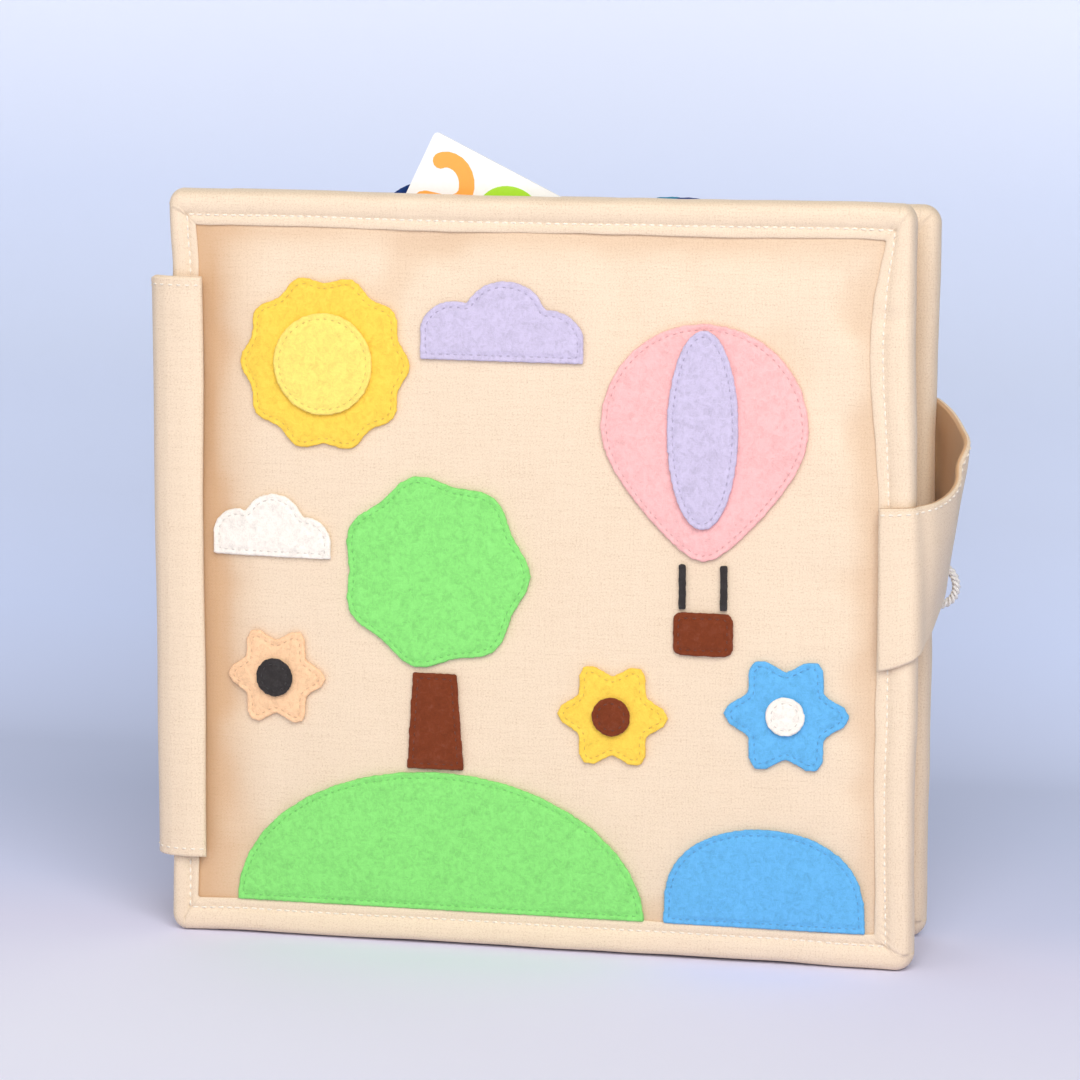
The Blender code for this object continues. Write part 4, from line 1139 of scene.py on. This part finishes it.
wrapPath, wrapRun = wrapLine()
leafDepths = [panels[f"leaf_{k}"]["middle"] for k in (1, 2, 3)]
straight = np.nonzero(wrapPath[:, 0] < hingeX + 1.5 * mm)[0]
leafRuns = [float(np.interp(depth, wrapPath[straight, 1], wrapRun[straight])) for depth in leafDepths]
marks = np.array(sorted([run for run in wrapRun if min(abs(run - cut) for cut in leafRuns) > 0.3 * mm] + leafRuns))
wrapPath = np.stack([np.interp(marks, wrapRun, wrapPath[:, axis]) for axis in (0, 1)], -1)
wrapRun = marks
wrapOut = lineNormals(wrapPath)
wrapOut *= -1 if wrapOut[len(wrapOut) // 2, 0] > 0 else 1


def wrapEdges(y):
    # lower and upper edge of the spine cloth at a depth, it sags between the covers
    share = min(max((y - bookFront) / (bookRear - bookFront), 0), 1)
    sag = 4 * share * (1 - share)
    return spine["low"] + 1.0 * mm + 1.2 * mm * sag, spine["low"] + spine["height"] - 4.4 * mm * sag


def wrapLift(y, z, run, total):
    # how far the cloth stands off its line: soft waves, the roll of the flaps, hems and sewn lines at the leaves
    up = z - spine["low"]
    lift = 0.35 * mm * wave(run * 0.6 + up * 0.15, 31, 0.03) + 0.25 * mm * noise.noise(Vector((run * 60, up * 28, 3.3)))
    ends = min(up, spine["height"] - up)
    lift -= 0.22 * mm * math.exp(-(((ends - spine["hem"]) / (0.6 * mm)) ** 2))
    flap = min(run, total - run)
    lift += 0.55 * mm * math.exp(-(((flap - 4.5 * mm) / (4.0 * mm)) ** 2))
    for depth in leafDepths:
        lift -= 0.75 * mm * math.exp(-(((y - depth) / (0.9 * mm)) ** 2))
    return lift


def wrapPiece(name, first, last, bodies, hinge, nodes):
    keep = range(first, last + 1)
    loop = bandLoop(spine["height"], spine["thick"], 88)
    total = wrapRun[-1]
    points, uv = [], []
    for i in keep:
        line = []
        endShare = min(1.0, 0.55 + min(wrapRun[i], total - wrapRun[i]) / (1.2 * mm))  # the flap's folded edge is thinner
        lowEdge, highEdge = wrapEdges(wrapPath[i, 1])
        for height, side in loop:
            z = lowEdge + height / spine["height"] * (highEdge - lowEdge)
            ends = min(height, spine["height"] - height)
            thick = spine["thick"] * (1 + 0.35 * math.exp(-((ends / (1.3 * mm)) ** 2)))
            lift = wrapLift(wrapPath[i, 1], z, wrapRun[i], total)
            flapShare = max(0, 1 - min(wrapRun[i], total - wrapRun[i]) / (9 * mm))
            offset = side * thick / 2 * endShare + lift
            point = wrapPath[i] + wrapOut[i] * offset
            line.append((point[0] + 0.5 * mm * wave(z, 43, 0.05) * flapShare, point[1], z))
        points.append(line)
        cloth = [(wrapRun[i], spine["low"] + height + (0.3 if side < 0 else 0)) for height, side in loop]
        uv.append(cloth + [(wrapRun[i], spine["low"])])
    piece = gridSheet(name, np.array(points), np.array(uv), closeColumns=True, caps=True)
    dress(piece, cotton, "cotton")
    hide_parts(*nodes)
    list(bodies)
    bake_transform(piece)
    run = wrapRun[last] - wrapRun[first]
    surface = surfaceOf(piece)
    found = []
    for edge, way in ((0, 1), (1, -1)):
        heights = [wrapEdges(wrapPath[i, 1])[edge] + way * spine["hem"] for i in keep]
        spots = [(Vector((*wrapPath[i], z)), Vector((*wrapOut[i], 0))) for i, z in zip(keep, heights)]
        run = wrapRun[first:last + 1]
        count = max(1, round((run[-1] - run[0]) / spine["pitch"]))
        for k in range(count):
            centre = run[0] + (k + 0.5) * (run[-1] - run[0]) / count
            ends = []
            for share in (-0.5, 0.5):
                place = centre + share * spine["dash"]
                base = Vector([float(np.interp(place, run, [s[0][axis] for s in spots])) for axis in range(3)])
                out = Vector([float(np.interp(place, run, [s[1][axis] for s in spots])) for axis in range(3)]).normalized()
                hit = surface.ray_cast(base + out * 0.01, -out)
                if hit[0] is not None:
                    ends.append((hit[0], hit[1]))
            if len(ends) == 2:
                found.append((ends[0][0], ends[1][0], ends[0][1] + ends[1][1]))
    sewn = sewStitches(name + "Stitches", found, 0.5 * mm)
    dress(sewn, whiteThread)
    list(bodies)
    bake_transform(sewn)
    return piece


cuts = [0] + [int(np.argmin(np.abs(wrapRun - run))) for run in leafRuns] + [len(wrapPath) - 1]
wrapParts = (
    ("spineWrapFront", ("front_cover", "leaf_1"), "front_cover_hinge", ("spine_wrap_front", "spine_wrap_leaf_1")),
    ("spineWrapSecond", ("leaf_1", "leaf_2"), "leaf_1_hinge", ("spine_wrap_leaf_2",)),
    ("spineWrapThird", ("leaf_2", "leaf_3"), "leaf_2_hinge", ("spine_wrap_leaf_3",)),
    ("spineWrapRear", ("leaf_3", "back_cover"), "leaf_3_hinge", ("spine_wrap_back",)),
)
for (name, bodies, hinge, nodes), first, last in zip(wrapParts, cuts, cuts[1:]):
    wrapPiece(name, first, last, bodies, hinge, nodes)
say("spine wrap folded")


# Cloth tabs that sew each leaf to the spine wrap
for index in (1, 2, 3):
    low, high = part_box(f"leaf_{index}_hinge_tab")
    rows = np.linspace(low.z, high.z, 76)
    loop = [(0, -1), (0.5, -1.05), (1, -1), (1, 1), (0.5, 1.05), (0, 1)]
    thick = (high.y - low.y) / 2
    left, wide, middle = low.x - 1.2 * mm, high.x - low.x + 2.2 * mm, (low.y + high.y) / 2
    points = np.array([[
        (left + wide * share, middle + side * thick * (1 + 0.2 * wave(z, index, 0.01)), z)
        for share, side in loop] for z in rows])
    uv = np.array([[(share * 0.006 + side * 0.001, z) for share, side in loop + loop[:1]] for z in rows])
    tab = gridSheet(f"leafTab{index}", points, uv, closeColumns=True, caps=True)
    dress(tab, leafCotton, "cotton_inner")
    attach(tab, f"leaf_{index}")
    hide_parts(f"leaf_{index}_hinge_tab")
say("leaf tabs sewn")


# Pockets on the leaves
pocket = {"cloth": 0.8 * mm, "seam": 3.6 * mm, "ramp": 1.4 * mm, "hem": 6 * mm, "pitch": 2.6 * mm, "dash": 1.6 * mm}
for index in (1, 2, 3):
    node = f"leaf_{index}_pocket"
    low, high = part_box(node)
    width, height = high.x - low.x, high.z - low.z
    caught = high.y  # the plane where it is sewn to the leaf
    seams = [pocket["seam"], pocket["seam"] + pocket["ramp"], width - pocket["seam"]]
    xs = np.unique(np.concatenate([np.linspace(0, width, 72), seams]))
    zs = np.linspace(0, height, max(12, round(height / (2.4 * mm))))
    zs = np.unique(np.concatenate([zs, [pocket["seam"], height - pocket["hem"]]]))
    gridX, gridZ = np.meshgrid(xs, zs, indexing="ij")
    inwards = np.minimum(gridX, width - gridX)
    caughtTo, freeFrom = pocket["seam"] - 0.5 * mm, pocket["seam"] + 2.5 * mm
    rise = smoothStep(inwards, caughtTo, freeFrom) * smoothStep(gridZ, caughtTo, freeFrom)
    ripple = wavesOver(gridX.ravel(), gridZ.ravel(), 50 + index, 0.02).reshape(gridX.shape)
    hem = np.exp(-(((gridZ - (height - pocket["hem"])) / (0.7 * mm)) ** 2))
    inner = caught - 1.5 * mm * rise * (1 - 0.12 * np.abs(ripple))
    outer = inner - pocket["cloth"] - 0.1 * mm * (gridZ > height - pocket["hem"]) + 0.15 * mm * hem
    sides = [np.stack([low.x + gridX, y, low.z + gridZ], -1) for y in (outer, inner)]
    points = np.concatenate([side.reshape(-1, 3) for side in sides])
    patch = addMesh(f"leafPocket{index}", points, slabFaces(*gridX.shape, turned=False))
    faceOutwards(patch)
    setFrontMap(patch)
    dress(patch, leafCotton, "cotton_inner")
    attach(patch, f"leaf_{index}")
    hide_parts(node)
    surface = surfaceOf(patch)
    seam = pocket["seam"] * 0.55
    sides = [Vector((low.x + seam, low.y, high.z - 1 * mm)), Vector((low.x + seam, low.y, low.z + seam))]
    sides += [Vector((high.x - seam, low.y, low.z + seam)), Vector((high.x - seam, low.y, high.z - 1 * mm))]
    top = high.z - pocket["hem"]
    across = [Vector((low.x + 2 * mm, low.y, top)), Vector((high.x - 2 * mm, low.y, top))]
    found = stitchesOn(sides, surface, -1, pocket["pitch"], pocket["dash"], False, index)
    found += stitchesOn(across, surface, -1, pocket["pitch"], pocket["dash"], False, index + 5)
    sewn = sewStitches(f"leafPocketStitches{index}", found, 0.42 * mm)
    dress(sewn, leafThread)
    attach(sewn, f"leaf_{index}")
say("pockets sewn")


# Closing strap: two layers of cloth from the front binding round the fore-edge to the rear
strap = {
    "thick": 1.8 * mm, "width": 42.5 * mm, "low": 79.5 * mm, "lap": 9.2 * mm, "reach": 9.0 * mm, "tight": 3.0 * mm,
    "anchor": 34 * mm, "rows": 34, "step": 0.9 * mm, "seam": 1.7 * mm, "pitch": 2.2 * mm, "dash": 1.5 * mm,
}
# how far its two edges climb on the way to the rear: run, climb (mm)
lowClimb = ((0, 0), (5, 1.2), (9.5, 3.4), (20, 8.6), (59.5, 26.8), (94, 38.5))
topClimb = ((0, 0), (9.5, 0.2), (16, 0.9), (23, 2.4), (30, 5.6), (36, 10.8), (42, 14.6), (50, 17.4), (59.5, 20.2), (94, 32))
# kinks across it: height, place along it, spread, and the heights between which they start (mm)
strapKinks = ((-1.1, 33, 3.2, 22, 40), (0.6, 40, 3.6, 18, 38))
foreEdge, backEdge = coverHigh.x, backHigh.x


def strapLine(share):
    # plan line of the strap's middle at a height share, 0 at its lower edge
    out = strap["tight"] + (strap["reach"] - strap["tight"]) * share - 1.2 * mm
    front = bookFront - 0.45 * mm - strap["thick"] / 2
    rear = bookRear + 3.3 * mm
    points = [(foreEdge - strap["lap"], front), (foreEdge - strap["lap"] * 0.55, front - 0.15 * mm)]
    points += [(foreEdge - 2.2 * mm, front), (foreEdge + 0.2 * mm, front + 0.7 * mm)]
    for k in range(1, 12):
        part = k / 12
        belly = out * math.sin(math.pi * part) ** 0.85
        x = foreEdge + 0.9 * mm + belly - (foreEdge - backEdge) * max(0, 2 * part - 1)
        points.append((x, front + 0.6 * mm + (rear - front - 1.2 * mm) * part))
    points += [(backEdge + 0.2 * mm, rear - 0.5 * mm), (backEdge - 2.4 * mm, rear)]
    points += [(backEdge - strap["anchor"] * 0.5, rear + 0.3 * mm), (backEdge - strap["anchor"], rear + 0.4 * mm)]
    return smoothLine(points, strap["step"], 2)


lowerLine, lowerRun = strapLine(0.0)
strapCount = len(lowerLine)


def strapSection(share):
    line, run = strapLine(share)
    marks = np.linspace(0, run[-1], strapCount)
    even = np.stack([np.interp(marks, run, line[:, k]) for k in (0, 1)], -1)
    out = lineNormals(even)
    return even, marks, out * (1 if out[0, 1] < 0 else -1)


def strapClimb(run, share):
    ways = []
    for table in (lowClimb, topClimb):
        places, climbs = np.array(table).T * mm
        ways.append(np.mean([np.interp(run + shift * mm, places, climbs) for shift in (-3, -1.5, 0, 1.5, 3)]))
    return ways[0] + (ways[1] - ways[0]) * share


def strapHeight(run, height):
    share = min(max(height / strap["width"], 0), 1)
    return strap["low"] + height + strapClimb(run, share) + 0.4 * mm * wave(run, 61, 0.02) * share


def doubleEdge(loop, height, thick):
    # two folded layers show as two lips along the upper edge
    shaped = []
    for place, side in loop:
        if place > height - thick / 2 - 1e-9 and abs(side) < 0.95:
            lip = abs(side)
            if lip < 0.85:
                place = height - thick / 2 + thick / 2 * (0.30 + 0.70 * math.sin(math.pi * min(lip / 0.85, 1)))
        shaped.append((place, side))
    return shaped


strapLoop = doubleEdge(bandLoop(strap["width"], strap["thick"], strap["rows"], 11), strap["width"], strap["thick"])
shareLines = {}
points, uv = [], []
for i in range(strapCount):
    row = []
    runHere = lowerRun[i]
    for height, side in strapLoop:
        share = round(min(1.0, max(0.0, height / strap["width"])), 3)
        if share not in shareLines:
            shareLines[share] = strapSection(share)
        line, run, out = shareLines[share]
        ends = strap["width"] - height
        thick = strap["thick"] * (1 - 0.22 * math.exp(-(((ends - strap["seam"]) / (0.5 * mm)) ** 2)))
        soft = float(smoothStep(runHere, 9 * mm, 20 * mm) * (1 - smoothStep(runHere, 58 * mm, 66 * mm)))
        crease = 0.8 * mm * soft * noise.noise(Vector((runHere * 55, height * 60, 8.1)))
        bend = math.exp(-(((runHere - 15.5 * mm + height * 0.10) / (2.6 * mm)) ** 2))
        crease -= 0.9 * mm * bend * (0.5 + 0.5 * height / strap["width"])
        crease += 0.35 * mm * wave(height, 66, 0.013) * float(1 - smoothStep(runHere, 6 * mm, 12 * mm))
        for kinkDepth, kinkRun, kinkSpread, low, high in strapKinks:
            kink = math.exp(-(((runHere - kinkRun * mm) / (kinkSpread * mm)) ** 2))
            crease += kinkDepth * mm * kink * float(smoothStep(height, low * mm, high * mm))
        end = min(runHere, lowerRun[-1] - runHere)
        offset = side * thick / 2 * min(1, 0.6 + end / (1.2 * mm)) + crease * (0.4 if runHere < 9 * mm else 1)
        spot = line[i] + out[i] * offset
        row.append((spot[0], spot[1], strapHeight(run[i], height)))
    points.append(row)
    uv.append([(runHere + 0.07 * (side < 0), height) for height, side in strapLoop] + [(runHere, 0)])
strapBand = gridSheet("closingStrap", np.array(points), np.array(uv), closeColumns=True, caps=True)
# painted shade: the strap's inner face carries 0.8 of the deeper painted-shade tone, standing in for the shade inside
# the loop
inner = strapBand.data.attributes.new("crease", "FLOAT", "POINT")
inner.data.foreach_set("value", [0.8 if side < 0 else 0.0 for _ in range(strapCount) for height, side in strapLoop])
dress(strapBand, paintedShadeCotton, "cotton")
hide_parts("closing_strap")
strapSurface = surfaceOf(strapBand)
strapStart, strapEnd = (foreEdge, bookFront + 0.5 * mm, 0.1), (foreEdge, bookFront + 9 * mm, 0.1)
found = []
line, run, out = strapSection(round(1 - strap["seam"] / strap["width"], 3))
count = round(run[-1] / strap["pitch"])
for k in range(count):
    centre = (k + 0.5) * run[-1] / count
    ends = []
    for part in (-0.5, 0.5):
        place = centre + part * strap["dash"]
        x, y = (float(np.interp(place, run, line[:, axis])) for axis in (0, 1))
        normal = Vector([float(np.interp(place, run, out[:, axis])) for axis in (0, 1)] + [0]).normalized()
        spot = Vector((x, y, strapHeight(place, strap["width"] - strap["seam"])))
        hit = strapSurface.ray_cast(spot + normal * 0.006, -normal)
        if hit[0] is not None:
            ends.append((hit[0], hit[1]))
    if len(ends) == 2:
        found.append((ends[0][0], ends[1][0], ends[0][1] + ends[1][1]))
strapSewn = sewStitches("closingStrapStitches", found, 0.56 * mm)
dress(strapSewn, whiteThread)
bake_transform(strapBand)
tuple(strapStart)
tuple(strapEnd)
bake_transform(strapSewn)
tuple(strapStart)
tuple(strapEnd)
say("strap sewn")


# Touch fastener: hook half on the strap, loop half on the back cover
def tapeMaterial(name, colour, scale, distance):
    material, nodes, links, shader = blank(name)
    place = nodes.new("ShaderNodeTexCoord").outputs["Object"]
    cells = nodes.new("ShaderNodeTexVoronoi")
    cells.inputs["Scale"].default_value = scale
    links.new(place, cells.inputs["Vector"])
    tone = toneRamp(nodes, links, cells.outputs["Distance"], ((0.0, colour), (0.8, scaled(colour, 0.7))))
    links.new(tone, shader.inputs["Base Color"])
    links.new(bump(nodes, links, cells.outputs["Distance"], 0.8, distance), shader.inputs["Normal"])
    shader.inputs["Roughness"].default_value = 0.8
    return material


hookTape = tapeMaterial("hookTape", (0.74, 0.66, 0.55), 1500, 0.0004)
loopTape = tapeMaterial("loopTape", (0.80, 0.73, 0.62), 2600, 0.0003)
tapes = (
    ("strap_hook_patch", "strapHookPatch", hookTape, "strap"),
    ("strap_loop_patch", "strapLoopPatch", loopTape, "back_cover"),
)
for node, name, material, body in tapes:
    tape = copyNode(name, node, 0.35 * mm)
    spots = readPoints(tape)
    spots[:, 1] += 0.08 * mm * wavesOver(spots[:, 0], spots[:, 2], 71, 0.001)
    writePoints(tape, spots)
    dress(tape, material, "fastener")
    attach(tape, body)
    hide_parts(node)
say("fastener placed")


# Cord loop: three strands laid round each other, both ends sewn into the back binding
cord = {
    "strand": 0.62 * mm, "lay": 0.56 * mm, "pitch": 4.2 * mm, "steps": 120,
    "low": 90 * mm, "rise": 10.8 * mm, "out": 6.2 * mm,
}
cordMiddle = panels["back_cover"]["middle"]


def cordSpot(share):
    out = math.sin(math.pi * min(max(share, 0), 1)) ** 0.75
    inside = -1.2 * mm if share <= 0 or share >= 1 else 0
    return Vector((
        backEdge + 0.2 * mm + cord["out"] * out + inside,
        cordMiddle + 0.6 * mm * math.sin(math.tau * share),
        cord["low"] + cord["rise"] * (0.5 - 0.5 * math.cos(math.pi * share)),
    ))


cordLine = [cordSpot(k / cord["steps"]) for k in range(cord["steps"] + 1)]
strands, faces = [], []
for strand in range(3):
    run = 0
    base = len(strands)
    for k, spot in enumerate(cordLine):
        along = (cordLine[min(k + 1, cord["steps"])] - cordLine[max(k - 1, 0)]).normalized()
        run += (spot - cordLine[k - 1]).length if k else 0
        side = along.cross(Vector((0, 1, 0))).normalized()
        up = side.cross(along)
        angle = math.tau * (strand / 3 + run / cord["pitch"])
        centre = spot + (side * math.cos(angle) + up * math.sin(angle)) * cord["lay"]
        for m in range(8):
            turn = math.tau * m / 8
            strands.append(centre + (side * math.cos(turn) + up * math.sin(turn)) * cord["strand"])
        if k:
            low, high = base + (k - 1) * 8, base + k * 8
            faces += [(low + m, low + (m + 1) % 8, high + (m + 1) % 8, high + m) for m in range(8)]
    faces.append(tuple(range(base, base + 8)))
    faces.append(tuple(range(base + cord["steps"] * 8, base + cord["steps"] * 8 + 8))[::-1])
cordTwist = addMesh("cordLoop", strands, faces)
faceOutwards(cordTwist)
dress(cordTwist, cordCotton, "cord")
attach(cordTwist, "back_cover")
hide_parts("cord_loop")
say("cord loop twisted")


# Number card: laminated board with generic printing
card = {"tilt": math.radians(26), "ink": 0.05 * mm}


def boardMaterial(name, colour, coat):
    material, nodes, links, shader = blank(name)
    place = nodes.new("ShaderNodeTexCoord").outputs["Object"]
    grain = noiseNode(material.node_tree, place, 900, 3)
    tone = toneRamp(nodes, links, grain, ((0.3, scaled(colour, 0.965)), (0.7, colour)))
    links.new(tone, shader.inputs["Base Color"])
    links.new(bump(nodes, links, noiseNode(material.node_tree, place, 120, 2), 0.05, 0.0003), shader.inputs["Normal"])
    shader.inputs["Roughness"].default_value = 0.38
    shader.inputs["Coat Weight"].default_value = coat
    shader.inputs["Coat Roughness"].default_value = 0.2
    return material


whiteBoard = boardMaterial("whiteBoard", (0.93, 0.93, 0.92), 0.3)
orangeInk = boardMaterial("orangeInk", (0.96, 0.40, 0.06), 0.3)
limeInk = boardMaterial("limeInk", (0.40, 0.74, 0.02), 0.3)
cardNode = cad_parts["number_card"]
cardNode.data.materials.clear()
cardNode.data.materials.append(whiteBoard)
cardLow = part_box("number_card")[0]
corners = readPoints(cardNode)
topCorner = Vector(corners[int(np.argmax(corners[:, 2]))])
cardAlong = Vector((math.cos(card["tilt"]), 0, -math.sin(card["tilt"])))
cardDown = Vector((-math.sin(card["tilt"]), 0, -math.cos(card["tilt"])))


def onCard(along, down, lift):
    spot = topCorner + cardAlong * along + cardDown * down
    return Vector((spot.x, cardLow.y - card["ink"] - lift, spot.z))


def inkShape(name, outline, material, lift=0):
    # a thin printed shape: outline in card places, closed, lying on the card
    front = [onCard(a, d, lift) for a, d in outline]
    rear = [Vector((p.x, cardLow.y + 0.1 * mm, p.z)) for p in front]
    count = len(front)
    faces = [tuple(range(count)), tuple(range(2 * count - 1, count - 1, -1))]
    faces += [(k, (k + 1) % count, count + (k + 1) % count, count + k) for k in range(count)]
    print_ = addMesh(name, front + rear, faces)
    faceOutwards(print_)
    print_.data.shade_flat()
    dress(print_, material)
    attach(print_, "card")


def ribbon(line, width):
    # outline of a rounded stroke along a line of (x, y)
    left, right = [], []
    for k, (x, y) in enumerate(line):
        x0, y0 = line[max(k - 1, 0)]
        x1, y1 = line[min(k + 1, len(line) - 1)]
        size = math.hypot(x1 - x0, y1 - y0)
        nx, ny = -(y1 - y0) / size, (x1 - x0) / size
        left.append((x + nx * width / 2, y + ny * width / 2))
        right.append((x - nx * width / 2, y - ny * width / 2))

    def cap(index, way):
        # rounded end from the left side to the right one, or back again at the start
        x, y = line[index]
        x0, y0 = line[index - way]
        size = math.hypot(x - x0, y - y0)
        ax, ay = (x - x0) / size, (y - y0) / size
        return [
            (x + width / 2 * (ax * math.sin(t) - ay * math.cos(t)), y + width / 2 * (ay * math.sin(t) + ax * math.cos(t)))
            for t in np.linspace(0.35, math.pi - 0.35, 6)
        ]

    return left + cap(-1, 1) + right[::-1] + cap(0, -1)


curl = (
    (4.0, 6.2), (4.6, 5.6), (5.7, 5.0), (7.0, 4.75), (8.6, 4.85), (10.1, 5.4), (11.5, 6.4), (12.6, 7.7), (13.4, 9.3),
    (13.8, 11.0), (13.3, 12.9), (11.8, 14.5), (9.4, 15.7), (6.8, 16.4), (4.6, 17.0),
)
foot = ((3.9, 17.4), (6.5, 17.45), (9, 17.5), (12, 17.6), (14.6, 17.6))
curl, foot = ([(a * mm, d * mm) for a, d in line] for line in (curl, foot))
inkShape("cardNumeral", ribbon(curl, 4.2 * mm), orangeInk)
inkShape("cardNumeralFoot", ribbon(foot, 4.0 * mm), orangeInk, 0.01 * mm)
ovals = ((27.2, 11.2, 9.2, 8.3), (46, 22, 8, 7), (30, 38, 9, 7))  # place and half size on the card (mm)
turns = np.linspace(0, math.tau, 40, endpoint=False)
for index, (along, down, wide, tall) in enumerate(ovals):
    outline = [((along + wide * math.cos(t)) * mm, (down + tall * math.sin(t)) * mm) for t in turns]
    inkShape(f"cardOval{index + 1}", outline, limeInk)
say("card printed")


# Floor, and a paper backdrop that curves up behind the book and is open from its rear side
stage = {
    "start": 0.22, "turn": 0.10, "height": 3.2, "wide": 3.2, "reach": 4.0,
    # the colour changes with this much of the distance back plus this much of the height (m)
    "lean": (0.158, 0.987),
    # pale lilac-blue paper with painted light and shade: darkest a little way up the backdrop, lighter on the floor in
    # front of the book and towards the top, standing in for how the light falls off
    "toneAndPaintedShade": (
        (-0.047, (0.84, 0.85, 1.0)), (-0.022, (0.835, 0.845, 1.0)), (-0.003, (0.79, 0.79, 0.99)),
        (0.0063, (0.70, 0.745, 0.985)), (0.0237, (0.655, 0.725, 0.975)), (0.076, (0.61, 0.695, 0.935)), (0.114, (0.585, 0.655, 0.84)),
        (0.162, (0.613, 0.68, 0.836)), (0.216, (0.665, 0.736, 0.912)), (0.275, (0.785, 0.838, 0.97)),
    ),
}


# paper colour with the painted light and shade of the stage's tones
def paintedShadeStagePaper(name):
    material, nodes, links, shader = blank(name)
    place = nodes.new("ShaderNodeTexCoord").outputs["Object"]
    split = nodes.new("ShaderNodeSeparateXYZ")
    links.new(place, split.inputs[0])
    back, up = (mathNode(material.node_tree, "MULTIPLY", split.outputs[1 + k], stage["lean"][k]) for k in range(2))
    reach = mathNode(material.node_tree, "ADD", back, up)
    fade = nodes.new("ShaderNodeMapRange")
    first, last = stage["toneAndPaintedShade"][0][0], stage["toneAndPaintedShade"][-1][0]
    fade.inputs["From Min"].default_value, fade.inputs["From Max"].default_value = first, last
    links.new(reach, fade.inputs["Value"])
    stops = [((place - first) / (last - first), tone) for place, tone in stage["toneAndPaintedShade"]]
    links.new(toneRamp(nodes, links, fade.outputs["Result"], stops), shader.inputs["Base Color"])
    shader.inputs["Roughness"].default_value = 0.9
    shader.inputs["Specular IOR Level"].default_value = 0.1
    return material, nodes, links, shader


def makeStage(name, profile, material):
    points = [(side * stage["wide"], y, z) for y, z in profile for side in (-1, 1)]
    faces = [(2 * k, 2 * k + 1, 2 * k + 3, 2 * k + 2) for k in range(len(profile) - 1)]
    paper = addMesh(name, points, faces)
    dress(paper, material)
    paper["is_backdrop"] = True


def openBehind(material, nodes, links, shader):
    # only a look at the paper's front sees it, and it holds back no light
    unseen = mathNode(material.node_tree, "SUBTRACT", 1.0, nodes.new("ShaderNodeLightPath").outputs["Is Camera Ray"])
    clear = mathNode(material.node_tree, "MAXIMUM", nodes.new("ShaderNodeNewGeometry").outputs["Backfacing"], unseen)
    mix = nodes.new("ShaderNodeMixShader")
    links.new(clear, mix.inputs["Fac"])
    links.new(shader.outputs["BSDF"], mix.inputs[1])
    links.new(nodes.new("ShaderNodeBsdfTransparent").outputs["BSDF"], mix.inputs[2])
    output = next(node for node in nodes if node.type == "OUTPUT_MATERIAL")
    links.new(mix.outputs["Shader"], output.inputs["Surface"])
    return material


makeStage("studioFloor", [(-stage["reach"], 0.0), (stage["reach"], 0.0)], paintedShadeStagePaper("floorPaperPaintedShade")[0])
curve = [(stage["start"], 0.0)]
for k in range(1, 25):
    angle = math.pi / 2 * k / 24
    curve.append((stage["start"] + stage["turn"] * math.sin(angle), stage["turn"] * (1 - math.cos(angle))))
curve.append((stage["start"] + stage["turn"], stage["height"]))
makeStage("studioBackdrop", curve, openBehind(*paintedShadeStagePaper("backdropPaperPaintedShade")))

# Soft studio light from beside the camera
lights = {
    "key": {"place": (0.66, -1.72, 1.30), "size": 1.5, "power": 42.6, "colour": (1.0, 0.985, 0.96)},
    "fill": {"place": (-1.25, -2.0, 1.0), "size": 1.8, "power": 9.5, "colour": (1.0, 0.985, 0.97)},
    "rear": {"place": (-0.9, 1.9, 1.3), "size": 1.8, "power": 9, "colour": (1.0, 0.985, 0.97)},
    "sky": 0.29,
}
for name in ("key", "fill", "rear"):
    look = lights[name]
    bpy.ops.object.light_add(type="AREA", location=look["place"])
    lamp = bpy.context.object
    lamp.name = name + "Softbox"
    lamp.data.shape = "SQUARE"
    lamp.data.size = look["size"]
    lamp.data.energy = look["power"]
    lamp.data.color = look["colour"]
    lamp.rotation_euler = (Vector(look["place"]) - Vector((0, 0, 0.1))).to_track_quat("Z", "Y").to_euler()
world = bpy.data.worlds.new("studioAir")
world.use_nodes = True
world.node_tree.nodes["Background"].inputs["Color"].default_value = (0.97, 0.98, 1.0, 1)
world.node_tree.nodes["Background"].inputs["Strength"].default_value = lights["sky"]
bpy.context.scene.world = world
bpy.context.scene.view_settings.view_transform = "Standard"
say("studio lit")

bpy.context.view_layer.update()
say("pieces: %d" % len(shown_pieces()))
